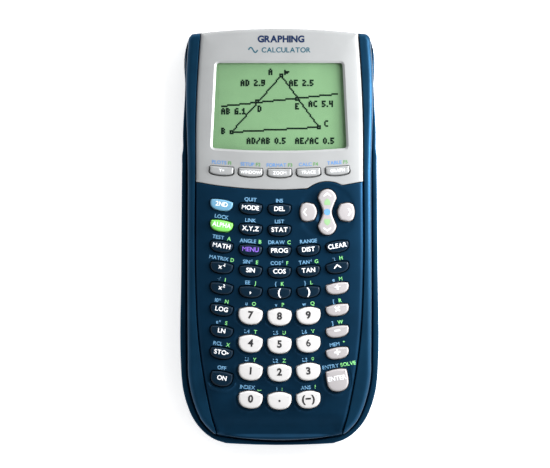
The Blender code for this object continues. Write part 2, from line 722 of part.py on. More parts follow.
def make_rear_housing():
    """A tub with the outer guide lip, the battery compartment, screw posts, feet and port openings."""
    rings = [(offset(rear_outline, inset), rear_face + height) for height, inset in REAR_ROLL]
    rings.append((rear_outline, parting + GUIDE_LIP_HEIGHT))
    body = solid("rear_housing", rings, "navy_plastic")
    inside = inner_outline(rear_outline, RIM_WALL + LEDGE_WIDTH)
    cut(body, "rear_hollow", [[(inside, rear_inside), (inside, parting + BEYOND)]])
    groove = inner_outline(front_outline, -GUIDE_GROOVE)
    cut(body, "guide_groove", [[(groove, parting), (groove, parting + BEYOND)]])

    sunk = rear_face + SHELL_WALL / 2
    wall = BAY_WALL
    deep = box(bay_left - wall, bay_right + wall, bay_bottom - wall, bay_top + wall, sunk, bay_top_face)
    join(body, "bay_block", [deep])
    shelf_right = compartment_half + wall
    shelf = box(bay_right, shelf_right, bay_bottom - wall, bay_top + wall, sunk, shelf_top)
    join(body, "backup_shelf", [shelf])
    cup_radius = backup_cover_radius + 0.4
    cup_top = shelf_bottom + BACKUP_CELL_THICKNESS + 2 * FIT_GAP
    join(body, "backup_cup", [disc(backup_x, bay_y, cup_radius, shelf_bottom + 0.5, cup_top + 0.9, 20)])

    gap = FIT_GAP
    door = box(
        -door_half - gap, door_half + gap, door_bottom_y - gap, door_top_y + gap, -BEYOND, door_top + gap
    )
    cut(body, "door_opening", [door])
    swing = HINGE_LUG_REACH + HINGE_LUG_HEIGHT
    notches = [lug_box(side, gap, 2 * swing, swing) for side in (-1, 1)]
    cut(body, "lug_notches", notches)
    cells = box(bay_left, bay_right, bay_bottom, bay_top, door_top, bay_ceiling)
    cut(body, "cell_space", [cells])
    backup = box(backup_left, compartment_half, bay_bottom, bay_top, door_top, shelf_bottom)
    cut(body, "backup_space", [backup])
    cell_hole = disc(backup_x, bay_y, BACKUP_CELL_DIAMETER / 2 + gap, shelf_bottom - 0.5, cup_top, 20)
    cut(body, "backup_cell_hole", [cell_hole])

    posts = post_places()
    join(body, "posts", [disc(x, y, POST_RADIUS, sunk, parting, 12) for x, y in posts])
    screws = [
        [
            (circle(x, y, SCREW_HEAD_RADIUS, 10), rear_face - BEYOND),
            (circle(x, y, SCREW_HEAD_RADIUS, 10), rear_face + SCREW_HEAD_DEPTH),
            (circle(x, y, SCREW_SHANK_RADIUS, 10), rear_face + SCREW_HEAD_DEPTH),
            (circle(x, y, SCREW_SHANK_RADIUS, 10), parting + BEYOND),
        ]
        for x, y in posts
    ]
    cut(body, "screw_holes", screws)
    join(body, "feet", [disc(x, y, FOOT_RADIUS, 0, sunk, 16) for x, y in foot_places()])
    usb = box(
        usb_x - USB_WIDTH / 2, usb_x + USB_WIDTH / 2, port_y + 2 * gap, HALF_LENGTH + BEYOND,
        port_z - USB_HEIGHT / 2, port_z + USB_HEIGHT / 2,
    )
    jack = [
        (link_x + LINK_JACK_RADIUS * math.cos(a), port_z + LINK_JACK_RADIUS * math.sin(a))
        for a in [2 * math.pi * i / 12 for i in range(12)]
    ]
    cut(body, "usb_opening", [usb])
    tool = mesh_object("link_opening", *along_y(jack, port_y - 4, HALF_LENGTH + BEYOND))
    boolean(body, "DIFFERENCE", tool)


def along_y(profile, y0, y1):
    """A solid of constant profile, given in X and Z, between two places along Y."""
    points, faces = stacked([(profile, -y1), (profile, -y0)])
    return [(x, -z, y) for x, y, z in points], faces


def lug_box(side, gap, inward, height):
    """One of the door's hinge lugs, on the side -1 or 1, or its notch, which is larger all round."""
    x = side * (door_half - 2 * HINGE_LUG_WIDTH)
    half = HINGE_LUG_WIDTH / 2 + gap
    low, high = door_bottom_y - HINGE_LUG_REACH - gap, door_bottom_y + inward
    return box(x - half, x + half, low, high, door_top - HINGE_LUG_ROOT - gap, door_top + height)


def post_places():
    """Three screw posts along each side, standing against the tub's wall."""
    side = HALF_WIDTH - RIM_WALL - LEDGE_WIDTH - POST_RADIUS
    low_x = board_half * 0.66
    low_y = -HALF_LENGTH + RIM_WALL + LEDGE_WIDTH + POST_RADIUS + 0.5
    beside_bay = compartment_half + BAY_WALL + FIT_GAP + POST_RADIUS
    places = [(beside_bay, bay_y + POST_RISE), (side, small_row_y[-1]), (low_x, low_y + 2.0)]
    return [(s * x, y) for x, y in places for s in (-1, 1)]


def foot_places():
    upper_x = door_half + 2 * FIT_GAP + FOOT_RADIUS
    upper_y = bay_top - FOOT_RADIUS
    lower_x = board_half * 0.9
    lower_y = -HALF_LENGTH + 20.0
    return [(s * x, y) for x, y in ((upper_x, upper_y), (lower_x, lower_y)) for s in (-1, 1)]


def make_battery_door():
    """A flat lid with two hinge lugs; its origin is on the hinge axis along its lower edge."""
    axis_y = door_bottom_y + DOOR_THICKNESS / 2
    body = solid(
        "battery_door",
        [
            (moved(outline, 0, -axis_y), z - rear_face)
            for outline, z in box(-door_half, door_half, door_bottom_y, door_top_y, rear_face, door_top)
        ],
        "navy_plastic",
    )
    body.location = (0, axis_y * MM, rear_face * MM)
    lugs = [lug_box(side, 0, HINGE_LUG_REACH, HINGE_LUG_HEIGHT) for side in (-1, 1)]
    join(body, "door_lugs", lugs)
    half = LATCH_WIDTH / 2
    top, low = door_top_y + BEYOND, door_top_y - LATCH_DEPTH
    through = (rear_face - BEYOND, door_top + BEYOND)
    sides = [(-half - LATCH_SLOT, -half), (half, half + LATCH_SLOT)]
    cut(body, "latch_slots", [box(x0, x1, low, top, *through) for x0, x1 in sides])
    grip = box(-half, half, low + 2.5, low + 5.5, rear_face - BEYOND, rear_face + LATCH_GRIP_DEPTH)
    cut(body, "latch_grip", [grip])


def make_window():
    half = seam_half - DISPLAY_SIDE_MARGIN + WINDOW_OVERLAP
    low = display_bottom - DISPLAY_BOW - WINDOW_OVERLAP
    high = display_top + WINDOW_OVERLAP
    flat = box(-half, half, low, high, window_bottom, window_top)[0][0]
    rings = [(flat, window_bottom), (flat, window_top - 0.2), (offset(flat, 0.2), window_top)]
    solid("display_window", rings, "clear_window")


def make_lcd_module():
    """The liquid crystal panel in its frame, with a ribbon tail that drops to the circuit board."""
    half = seam_half - DISPLAY_SIDE_MARGIN + LCD_MARGIN
    low = display_bottom - DISPLAY_BOW - LCD_MARGIN
    high = display_top + LCD_MARGIN
    body = solid("lcd_module", box(-half, half, low, high, lcd_bottom, lcd_top), "lcd_glass")
    tail = box(-12, 12, low - 1.0, low + 0.4, board_top + FIT_GAP, lcd_bottom + 0.8)
    join(body, "lcd_ribbon", [tail])


def keyboard_outline(margin):
    """The keypad's own area, narrowing at the lower end as the body does."""
    low = keypad_bottom - margin
    corner = side_bottom - margin
    half = board_half + margin - BOARD_MARGIN
    inner = 1.5 * column_pitch + number_width / 2
    right = [(inner * 0.8, low), (inner + margin, low + 4), (half, corner + 3), (half, keyboard_top)]
    return right + [(-x, y) for x, y in reversed(right)]


def make_key_mat():
    """A silicone sheet with a dome under each key."""
    outline = keyboard_outline(BOARD_MARGIN)
    body = solid("key_mat", [(outline, mat_bottom), (outline, mat_top)], "silicone")
    domes = [
        [
            (circle(x, y, DOME_RADIUS, 8), mat_top - MAT_THICKNESS / 2),
            (circle(x, y, DOME_RADIUS, 8), mat_top + 0.3),
            (circle(x, y, DOME_RADIUS * 0.6, 8), dome_top),
        ]
        for x, y in dome_places
    ]
    join(body, "mat_domes", domes)


def make_circuit_board():
    """The main board under the mat, with an arm beside the cells that carries both ports."""
    outline = keyboard_outline(BOARD_MARGIN)
    body = solid("circuit_board", [(outline, board_bottom), (outline, board_top)], "circuit_green")
    arm = box(
        backup_left + 2 * FIT_GAP, arm_right, keyboard_top - ARM_OVERLAP, bay_top - 2 * FIT_GAP,
        board_bottom + ARM_STEP, board_top - ARM_STEP,
    )
    join(body, "board_arm", [arm])
    port_low = shelf_top + FIT_GAP
    sunk = board_bottom + BOARD_THICKNESS / 3
    processor, memory = PROCESSOR_SIZE / 2, MEMORY_SIZE / 2
    memory_x = COLUMNS // 2 * column_pitch - PROCESSOR_SIZE / 2
    chip_bottom = board_bottom - CHIP_HEIGHT
    parts = [
        box(
            usb_x - usb_half, usb_x + usb_half, port_y - USB_DEPTH, port_y - FIT_GAP, port_low, sunk
        ),
        box(
            link_x - link_half, link_x + link_half, port_y - LINK_DEPTH, port_y - 3 * FIT_GAP,
            port_low, sunk,
        ),
        box(
            -processor, processor, small_row_y[1] - processor, small_row_y[1] + processor,
            chip_bottom, sunk,
        ),
        box(
            memory_x - memory, memory_x + memory, number_row_y[0] - memory, number_row_y[0] + memory,
            chip_bottom, sunk,
        ),
    ]
    join(body, "board_components", parts)


def make_battery_pack():
    """Cells side by side, every other one turned round, held between their contact straps."""
    radius = CELL_DIAMETER / 2
    nub, neck = radius * 0.5, radius * 0.34
    half = CELL_LENGTH / 2
    shoulder = half - 1.2
    strap_y = half + CONTACT_DEPTH - 1.0
    profile = [
        (neck, -strap_y), (nub, -half), (radius, -half), (radius, shoulder), (nub, shoulder), (nub, half),
        (neck, strap_y),
    ]
    sides = 12
    points, faces = [], []
    for cell in range(CELL_COUNT):
        x = bay_left + FIT_GAP + cell_pitch * (cell + 0.5)
        flip = 1 if cell % 2 == 0 else -1
        start = len(points)
        rings = profile if flip == 1 else [(r, -y) for r, y in reversed(profile)]
        for r, y in rings:
            for i in range(sides):
                a = -2 * math.pi * (i + 0.5) / sides
                points.append((x + r * math.cos(a), bay_y + y, cell_axis + r * math.sin(a)))
        faces.append(tuple(reversed(range(start, start + sides))))
        for level in range(len(rings) - 1):
            low, high = start + level * sides, start + (level + 1) * sides
            faces += [
                (low + i, low + (i + 1) % sides, high + (i + 1) % sides, high + i) for i in range(sides)
            ]
        last = start + (len(rings) - 1) * sides
        faces.append(tuple(range(last, last + sides)))
    body = mesh_object("battery_cells", points, faces)
    paint(body, "cell_jacket")
    left, right = bay_left + FIT_GAP + 1, bay_right - FIT_GAP - 1
    outer = half + CONTACT_DEPTH - 0.3
    straps = [
        box(left, right, bay_y + sign_low, bay_y + sign_high, cell_axis - 3.4, cell_axis + 3.4)
        for sign_low, sign_high in ((-outer, -strap_y + 0.3), (strap_y - 0.3, outer))
    ]
    join(body, "contact_straps", straps)


def make_backup_cover():
    """The backup coin cell in its round cover."""
    cover = circle(backup_x, bay_y, backup_cover_radius, 20)
    cell = circle(backup_x, bay_y, BACKUP_CELL_DIAMETER / 2, 20)
    low = door_top + FIT_GAP
    high = low + BACKUP_COVER_THICKNESS
    rings = [(cover, low), (cover, high), (cell, high), (cell, high + BACKUP_CELL_THICKNESS)]
    solid("backup_cell_cover", rings, "backup_cover")


clear_scene()
make_keypad()
make_function_keys()
make_pad()
make_bezel()
make_faceplate()
make_front_housing()
make_rear_housing()
make_battery_door()
make_window()
make_lcd_module()
make_key_mat()
make_circuit_board()
make_battery_pack()
make_backup_cover()
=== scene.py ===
"""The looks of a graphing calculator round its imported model: plates, housings, keys, prints, display.

Lengths are in millimetres and become metres only where a mesh, a lamp or the camera is made.
"""

import json
import math

import bpy
import numpy as np
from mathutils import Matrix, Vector
from mathutils.geometry import convex_hull_2d, delaunay_2d_cdt


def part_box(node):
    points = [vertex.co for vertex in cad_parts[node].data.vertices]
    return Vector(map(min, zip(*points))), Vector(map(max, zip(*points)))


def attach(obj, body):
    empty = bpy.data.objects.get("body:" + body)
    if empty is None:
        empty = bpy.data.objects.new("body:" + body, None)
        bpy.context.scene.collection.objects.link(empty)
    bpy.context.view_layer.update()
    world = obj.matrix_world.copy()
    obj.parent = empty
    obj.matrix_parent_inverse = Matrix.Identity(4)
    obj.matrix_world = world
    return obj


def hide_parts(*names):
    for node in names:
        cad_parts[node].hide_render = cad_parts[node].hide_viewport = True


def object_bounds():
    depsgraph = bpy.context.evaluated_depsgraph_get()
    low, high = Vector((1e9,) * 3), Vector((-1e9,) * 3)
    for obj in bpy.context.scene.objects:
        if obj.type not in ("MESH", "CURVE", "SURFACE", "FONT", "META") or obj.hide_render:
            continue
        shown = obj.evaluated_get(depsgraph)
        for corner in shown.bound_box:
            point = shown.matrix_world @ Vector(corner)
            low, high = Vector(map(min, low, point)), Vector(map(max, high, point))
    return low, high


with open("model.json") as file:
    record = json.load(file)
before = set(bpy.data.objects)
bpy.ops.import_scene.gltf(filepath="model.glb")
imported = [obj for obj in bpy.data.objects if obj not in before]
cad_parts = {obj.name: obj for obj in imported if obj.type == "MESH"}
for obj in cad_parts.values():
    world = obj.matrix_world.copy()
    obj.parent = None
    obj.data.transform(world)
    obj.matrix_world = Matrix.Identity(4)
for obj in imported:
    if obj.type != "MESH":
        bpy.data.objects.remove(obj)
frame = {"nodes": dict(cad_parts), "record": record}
cad_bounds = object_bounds()

MM = 0.001


# ---------------------------------------------------------------- reading the frame


def box(node):
    """A node's lowest and highest corner."""
    low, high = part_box(node)
    return np.array(low) / MM, np.array(high) / MM


def node_faces(node):
    """The triangles of a node, as an array of triangle by corner by axis."""
    mesh = frame["nodes"][node].data
    mesh.calc_loop_triangles()
    points = np.empty(3 * len(mesh.vertices))
    mesh.vertices.foreach_get("co", points)
    order = np.empty(3 * len(mesh.loop_triangles), np.int32)
    mesh.loop_triangles.foreach_get("vertices", order)
    return points.reshape(-1, 3)[order.reshape(-1, 3)] / MM


def border(faces, count):
    """The directed edges of triangles that no neighbour shares, given how many points there are."""
    ends = np.concatenate([faces[:, [0, 1]], faces[:, [1, 2]], faces[:, [2, 0]]]).astype(np.int64)
    ends = ends[ends[:, 0] != ends[:, 1]]
    forward = ends[:, 0] * count + ends[:, 1]
    backward = ends[:, 1] * count + ends[:, 0]
    return ends[~np.isin(forward, backward)]


def seen_loops(node, above=-1e9, below=1e9, facing=1):
    """The outlines of a node's faces as seen from above, or from below if facing is -1, longest first.

    Its edges that only one such face has are chained end to end.
    """
    faces = node_faces(node)
    normal = np.cross(faces[:, 1] - faces[:, 0], faces[:, 2] - faces[:, 0])
    steep = facing * normal[:, 2] > 0.03 * np.linalg.norm(normal, axis=1)
    heights = faces[:, :, 2]
    kept = faces[steep & (heights.min(1) > above) & (heights.max(1) < below)]
    flat = np.round(kept[:, :, :2], 3).reshape(-1, 2)
    spots, index = np.unique(flat, axis=0, return_inverse=True)
    following = {}
    for start, end in border(index.reshape(-1, 3), len(spots)).tolist():
        following.setdefault(start, []).append(end)
    loops = []
    while following:
        first = spot = next(iter(following))
        chain = []
        while spot in following:
            chain.append(spot)
            onward = following[spot]
            spot = onward.pop()
            if not onward:
                del following[chain[-1]]
            if spot == first:
                break
        loops.append(spots[chain])
    loops = [loop for loop in loops if len(loop) > 2 and length_of(loop) > 1.0]
    return sorted((leftward(loop) for loop in loops), key=length_of, reverse=True)


# ---------------------------------------------------------------- outlines


def length_of(loop):
    """The length of a closed loop."""
    return np.linalg.norm(np.roll(loop, -1, 0) - loop, axis=1).sum()


def leftward(loop):
    """The loop in counterclockwise order."""
    x, y = loop.T
    area = (x * np.roll(y, -1) - y * np.roll(x, -1)).sum()
    return loop if area > 0 else loop[::-1]


def resampled(curve, spacing):
    """Points an equal distance apart along a closed curve."""
    steps = np.linalg.norm(np.roll(curve, -1, 0) - curve, axis=1)
    along = np.concatenate([[0], np.cumsum(steps)])
    count = max(24, int(round(along[-1] / spacing)))
    places = np.arange(count) * along[-1] / count
    closed = np.vstack([curve, curve[:1]])
    return np.stack([np.interp(places, along, closed[:, i]) for i in (0, 1)], 1)


def rounded(curve, width, spacing):
    """A closed curve averaged along itself with a bell-shaped weight of the given width."""
    fine = resampled(curve, spacing)
    waves = np.fft.fft(fine[:, 0] + 1j * fine[:, 1])
    frequency = np.fft.fftfreq(len(fine), length_of(fine) / len(fine))
    soft = np.fft.ifft(waves * np.exp(-2 * (math.pi * frequency * width) ** 2))
    return np.stack([soft.real, soft.imag], 1)


def smooth(loop, spacing=0.5, width=0.3, corner=42, steps=12):
    """A smooth closed curve through a loop's points.

    Each stretch is a cubic whose slope at a point is the mean of the two edges there, the nearer point
    counting more. A point that turns by more than the corner angle keeps both its edges' slopes.
    """
    after, before = np.roll(loop, -1, 0), np.roll(loop, 1, 0)
    ahead = np.linalg.norm(after - loop, axis=1)[:, None]
    behind = np.roll(ahead, 1, 0)
    out, into = (after - loop) / ahead, (loop - before) / behind
    turn = np.degrees(np.arccos(np.clip((out * into).sum(1), -1, 1)))
    sharp = (turn > corner)[:, None]
    slope = (out * behind + into * ahead) / (ahead + behind)
    leaving = np.where(sharp, out, slope) * ahead
    arriving = np.roll(np.where(sharp, into, slope), -1, 0) * ahead
    t = np.linspace(0, 1, steps, endpoint=False)[None, :, None]
    curve = (
        (2 * t**3 - 3 * t**2 + 1) * loop[:, None] + (t**3 - 2 * t**2 + t) * leaving[:, None]
        + (3 * t**2 - 2 * t**3) * after[:, None] + (t**3 - t**2) * arriving[:, None]
    )
    return rounded(curve.reshape(-1, 2), width, spacing)


def inset(loop, distance):
    """A counterclockwise loop moved inwards, square to itself. A negative distance moves it outwards."""
    along = np.roll(loop, -1, 0) - np.roll(loop, 1, 0)
    along = along / np.linalg.norm(along, axis=1)[:, None]
    return loop + np.stack([-along[:, 1], along[:, 0]], 1) * np.asarray(distance).reshape(-1, 1)


def circle(x, y, radius, count=48):
    """Points round a circle."""
    turn = np.arange(count) * 2 * math.pi / count
    return np.stack([x + radius * np.cos(turn), y + radius * np.sin(turn)], 1)


def rectangle(x0, x1, y0, y1, radius=0.6, spacing=0.6):
    """A rectangle with rounded corners."""
    return rounded(np.array([(x0, y0), (x1, y0), (x1, y1), (x0, y1)], float), radius, spacing)


def inside(points, loop):
    """Which points lie inside a closed loop: a ray to the right crosses it an odd number of times."""
    found = np.zeros(len(points), bool)
    low, high = loop.min(0), loop.max(0)
    near = np.flatnonzero(((points >= low) & (points <= high)).all(1))
    x, y = points[near].T
    x0, y0 = loop.T[:, :, None]
    x1, y1 = np.roll(loop, -1, 0).T[:, :, None]
    rise = np.where(y1 == y0, 1, y1 - y0)
    crossed = ((y0 > y) != (y1 > y)) & (x < (x1 - x0) * (y - y0) / rise + x0)
    found[near] = crossed.sum(0) % 2 == 1
    return found


def distance_to(points, loops, reach=6.0):
    """How far each point is from the nearest of several fine loops, up to a reach."""
    nearest = np.full(len(points), float(reach))
    for loop in loops:
        low, high = loop.min(0) - reach, loop.max(0) + reach
        near = np.flatnonzero(((points >= low) & (points <= high)).all(1))
        for part in np.array_split(near, 1 + len(near) * len(loop) // 4_000_000):
            gaps = points[part][:, None] - loop[None]
            nearest[part] = np.minimum(nearest[part], np.sqrt((gaps**2).sum(2).min(1)))
    return nearest


def bell(value, middle, width):
    """1 at the middle, falling to 0 on both sides as a bell does."""
    return np.exp(-(((value - middle) / width) ** 2))


def ease(value, start, end):
    """0 before the start, 1 past the end, and a smooth S between."""
    t = np.clip((value - start) / (end - start), 0, 1)
    return t * t * (3 - 2 * t)


def edge_drop(distance, radius, depth=None):
    """How far a quarter-round edge lies below its face, at a distance in from the flank."""
    share = 1 - np.clip(distance / radius, 0, 1)
    return (depth or radius) * (1 - np.sqrt(1 - share**2))


# ---------------------------------------------------------------- meshes


def make_piece(name, points, faces, material, body="root", smooth_angle=38):
    """A mesh from arrays of points and triangles, with its finish, on the body it rides with."""
    mesh = bpy.data.meshes.new(name)
    mesh.vertices.add(len(points))
    mesh.vertices.foreach_set("co", (points * MM).astype(np.float32).ravel())
    mesh.loops.add(3 * len(faces))
    mesh.loops.foreach_set("vertex_index", faces.astype(np.int32).ravel())
    mesh.polygons.add(len(faces))
    mesh.polygons.foreach_set("loop_start", np.arange(len(faces), dtype=np.int32) * 3)
    mesh.update(calc_edges=True)
    mesh.validate()
    mesh.shade_smooth()
    mesh.set_sharp_from_angle(angle=math.radians(smooth_angle))
    mesh.materials.append(material[1])
    piece = bpy.data.objects.new(name, mesh)
    bpy.context.scene.collection.objects.link(piece)
    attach(piece, body)
    return piece


def joined(parts):
    """Several (points, faces) as one."""
    starts = np.cumsum([0] + [len(points) for points, _ in parts[:-1]])
    return (
        np.vstack([points for points, _ in parts]),
        np.vstack([faces + start for (_, faces), start in zip(parts, starts)]),
    )


def at_height(outline, height):
    """A flat outline's points at one height."""
    return np.column_stack([outline, np.full(len(outline), height)])


def stacked(rings):
    """A closed solid through counterclockwise rings with as many points each, from the bottom up.

    Each ring is an outline and a height, or points of its own. A pole closes each end.
    """
    solid = [at_height(*ring) if isinstance(ring, tuple) else ring for ring in rings]
    levels, count = len(solid), len(solid[0])
    points = np.vstack(solid + [solid[0].mean(0)[None], solid[-1].mean(0)[None]])
    around = np.arange(count)
    onward = (around + 1) % count
    level = np.arange(levels - 1)[:, None] * count
    a, b = (level + around).ravel(), (level + onward).ravel()
    sides = np.vstack([np.stack([a, b, b + count], 1), np.stack([a, b + count, a + count], 1)])
    top = (levels - 1) * count
    low_pole, high_pole = levels * count, levels * count + 1
    ends = [
        np.stack([onward, around, np.full(count, low_pole)], 1),
        np.stack([top + around, top + onward, np.full(count, high_pole)], 1),
    ]
    return points, np.vstack([sides, *ends])


def between(spots, faces, top, bottom):
    """A closed solid over flat triangles, between two arrays of heights, walled round its borders."""
    count = len(spots)
    points = np.vstack([np.column_stack([spots, top]), np.column_stack([spots, bottom])])
    a, b = border(faces, count).T
    walls = [np.stack([a, a + count, b + count], 1), np.stack([a, b + count, b], 1)]
    return points, np.vstack([faces, faces[:, ::-1] + count, *walls])


STEP_HALF = 0.01  # how far each of a step's two rows of points lies from it
RING_ROOM = 0.9  # the share of its own distance that a ring's point keeps from every loop
GRID_ROOM = 0.4  # how far the grid keeps from the last ring, as a share of its spacing


def covered(loops, steps=(), spacing=1.3, rings=(0.12, 0.3, 0.6, 1.0, 1.5)):
    """Flat triangles over the area inside the first loop and outside the others.

    Points lie along the loops, on rings that run beside them, and on a grid between. Each step is a loop
    across which the height may jump, so it has a row of points on each side.
    """
    chains = [leftward(loop) for loop in loops]
    for step in steps:
        chains += [inset(leftward(step), side * STEP_HALF) for side in (1, -1)]
    beside = [inset(chain, side * ring) for chain in chains for side in (1, -1) for ring in rings]
    low, high = chains[0].min(0), chains[0].max(0)
    xs, ys = (np.arange(low[i] + spacing / 2, high[i], spacing) for i in (0, 1))
    grid = np.stack(np.meshgrid(xs, ys), 2)
    grid[1::2, :, 0] += spacing / 2
    grid = grid.reshape(-1, 2)
    extra = np.vstack(beside)
    apart = distance_to(extra, chains, rings[-1] + spacing)
    wanted = np.concatenate([
        np.full(len(chain), ring) for chain in chains for _ in (0, 1) for ring in rings
    ])
    extra = extra[apart > RING_ROOM * wanted]
    grid = grid[distance_to(grid, chains, rings[-1] + spacing) > rings[-1] + GRID_ROOM * spacing]
    loose = np.vstack([extra, grid])
    kept = inside(loose, chains[0])
    for hole in chains[1 : len(loops)]:
        kept &= ~inside(loose, hole)
    spots, edges, owner = [], [], []
    for number, chain in enumerate(chains):
        start = sum(len(part) for part in spots)
        around = np.arange(len(chain))
        edges.append(np.stack([start + around, start + (around + 1) % len(chain)], 1))
        spots.append(chain)
        owner.append(np.full(len(chain), number if number < len(loops) else -1))
    spots.append(loose[kept])
    owner = np.concatenate(owner + [np.full(kept.sum(), -1)])
    flat = [Vector(spot) for spot in np.vstack(spots).tolist()]
    found, _, faces, sources, _, _ = delaunay_2d_cdt(flat, np.vstack(edges).tolist(), [], 0, 1e-5, True)
    faces = np.array(faces)
    owners = np.array([owner[source[0]] if source else -1 for source in sources])[faces]
    outside = (owners[:, 0] >= 0) & (owners[:, 0] == owners[:, 1]) & (owners[:, 1] == owners[:, 2])
    return np.array([spot[:] for spot in found]), faces[~outside]


def plate(name, material, loops, top, bottom, steps=(), body="root", node=None, **detail):
    """A solid over an area, its top and bottom being heights or functions of the flat points."""
    spots, faces = covered(loops, steps, **detail)
    high = top(spots) if callable(top) else np.full(len(spots), float(top))
    low = bottom(spots) if callable(bottom) else np.full(len(spots), float(bottom))
    piece = make_piece(name, *between(spots, faces, high, low), material, body)
    if node:
        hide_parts(node)
    return piece


# ---------------------------------------------------------------- materials


BROAD_SCALE = 90.0  # noise spots per metre in which the colour wanders
ROUGHNESS_SPREAD = 0.12
RELIEF_STRENGTH = 0.35


def finish(slot, name, color, roughness, metallic=0.0, specular=0.5, grain=4.0, bump=0.02, shade=0.12,
           alpha=1.0):
    """A moulded finish: a colour that wanders between two close shades, and a fine grain in the surface.

    Grain is in spots per millimetre, bump in millimetres, and shade is how far the colour wanders.
    """
    material = bpy.data.materials.new(name)
    material.use_nodes = True
    nodes, links = material.node_tree.nodes, material.node_tree.links
    shader = nodes["Principled BSDF"]
    shader.inputs["Metallic"].default_value = metallic
    shader.inputs["Specular IOR Level"].default_value = specular
    shader.inputs["Alpha"].default_value = alpha
    place = nodes.new("ShaderNodeTexCoord")
    broad = nodes.new("ShaderNodeTexNoise")
    broad.inputs["Scale"].default_value = BROAD_SCALE
    broad.inputs["Detail"].default_value = 4.0
    fine = nodes.new("ShaderNodeTexNoise")
    fine.inputs["Scale"].default_value = grain / MM
    fine.inputs["Detail"].default_value = 2.0
    ramp = nodes.new("ShaderNodeValToRGB")
    ramp.color_ramp.elements[0].position = 0.3
    ramp.color_ramp.elements[1].position = 0.7
    ramp.color_ramp.elements[0].color = (*[c * (1 - shade) for c in color], 1)
    ramp.color_ramp.elements[1].color = (*[min(1, c * (1 + shade)) for c in color], 1)
    dull = nodes.new("ShaderNodeMapRange")
    dull.inputs["To Min"].default_value = roughness * (1 - ROUGHNESS_SPREAD)
    dull.inputs["To Max"].default_value = min(1, roughness * (1 + ROUGHNESS_SPREAD))
    relief = nodes.new("ShaderNodeBump")
    relief.inputs["Strength"].default_value = RELIEF_STRENGTH
    relief.inputs["Distance"].default_value = bump * MM
    links.new(place.outputs["Object"], broad.inputs["Vector"])
    links.new(place.outputs["Object"], fine.inputs["Vector"])
    links.new(broad.outputs["Fac"], ramp.inputs["Fac"])
    links.new(ramp.outputs["Color"], shader.inputs["Base Color"])
    links.new(fine.outputs["Fac"], dull.inputs["Value"])
    links.new(dull.outputs["Result"], shader.inputs["Roughness"])
    links.new(fine.outputs["Fac"], relief.inputs["Height"])
    links.new(relief.outputs["Normal"], shader.inputs["Normal"])
    return slot, material


NAVY = finish("navy_plastic", "moulded_navy", (0.0035, 0.025, 0.056), 0.4, metallic=0.6, specular=0.1,
              grain=3.0, bump=0.03)
RAIL = finish("navy_plastic", "satin_navy_rail", (0.005, 0.036, 0.078), 0.36, metallic=0.6,
              specular=0.15, grain=2.0)
SILVER = finish("silver_plastic", "satin_silver", (0.28, 0.288, 0.292), 0.4, metallic=0.1, grain=6.0,
                shade=0.04)
WHITE = finish("white_key", "white_keycap", (0.5, 0.495, 0.495), 0.45, shade=0.02, bump=0.01)
GREY = finish("grey_key", "grey_keycap", (0.32, 0.305, 0.312), 0.45, shade=0.03, bump=0.01)
DARK = finish("dark_key", "dark_keycap", (0.0012, 0.01, 0.022), 0.34, specular=0.2, shade=0.1,
              bump=0.012)
BLUE = finish("blue_key", "blue_keycap", (0.11, 0.27, 0.4), 0.38, shade=0.04, bump=0.01)
GREEN = finish("green_key", "green_keycap", (0.16, 0.53, 0.09), 0.38, shade=0.04, bump=0.01)
GLASS = finish("clear_window", "clear_acrylic", (0.04, 0.06, 0.05), 0.05, shade=0.02, bump=0.0,
               alpha=0.03)
LCD = finish("lcd_glass", "display_green", (0.15, 0.275, 0.142), 0.3, shade=0.05, bump=0.0)
DOT = finish("lcd_glass", "display_dots", (0.004, 0.012, 0.008), 0.45, specular=0.1, shade=0.2, bump=0.0)
FAINT_DOT = finish("lcd_glass", "display_border", (0.15, 0.27, 0.14), 0.35, shade=0.05, bump=0.0)
BOARD = finish("circuit_green", "circuit_lacquer", (0.02, 0.16, 0.06), 0.45, grain=1.2, shade=0.25)
SILICONE = finish("silicone", "grey_silicone", (0.4, 0.42, 0.42), 0.7, shade=0.06, bump=0.03)
JACKET = finish("cell_jacket", "cell_jacket", (0.06, 0.06, 0.07), 0.3, metallic=0.6, shade=0.1)
NICKEL = finish("backup_cover", "nickel_plate", (0.6, 0.6, 0.58), 0.3, metallic=0.9, shade=0.06)
RUBBER = finish("silicone", "foot_rubber", (0.02, 0.022, 0.025), 0.8, shade=0.15, bump=0.05)


def print_ink(slot, name, color, **look):
    """A finish for printing: half matt, and nearly without grain."""
    return finish(slot, name, color, 0.5, bump=0.005, **look)


PRINT_WHITE = print_ink("white_key", "white_print", (0.75, 0.77, 0.8), shade=0.03)
PRINT_BLACK = print_ink("dark_key", "black_print", (0.01, 0.01, 0.012), shade=0.2)
PRINT_BLUE = print_ink("blue_key", "blue_print", (0.13, 0.31, 0.5), shade=0.05)
PRINT_GREEN = print_ink("green_key", "green_print", (0.2, 0.62, 0.2), shade=0.05)
PRINT_NAVY = print_ink("navy_plastic", "navy_print", (0.004, 0.015, 0.055), specular=0.2, shade=0.1)
PRINT_TEAL = print_ink("navy_plastic", "teal_print", (0.01, 0.075, 0.11), specular=0.2, shade=0.1)
PRINT_PURPLE = print_ink("blue_key", "purple_print", (0.2, 0.1, 0.55), shade=0.05)
PRINT_ARROW = print_ink("green_key", "pale_green_print", (0.22, 0.38, 0.19), shade=0.05)
PRINT_DISC = print_ink("blue_key", "sky_blue_print", (0.1, 0.26, 0.5), shade=0.2)
BEZEL_BLUE = print_ink("blue_key", "deep_blue_print", (0.07, 0.2, 0.45), shade=0.05)
BEZEL_GREEN = print_ink("green_key", "deep_green_print", (0.07, 0.22, 0.06), shade=0.05)


# ---------------------------------------------------------------- levels and lines taken from the frame

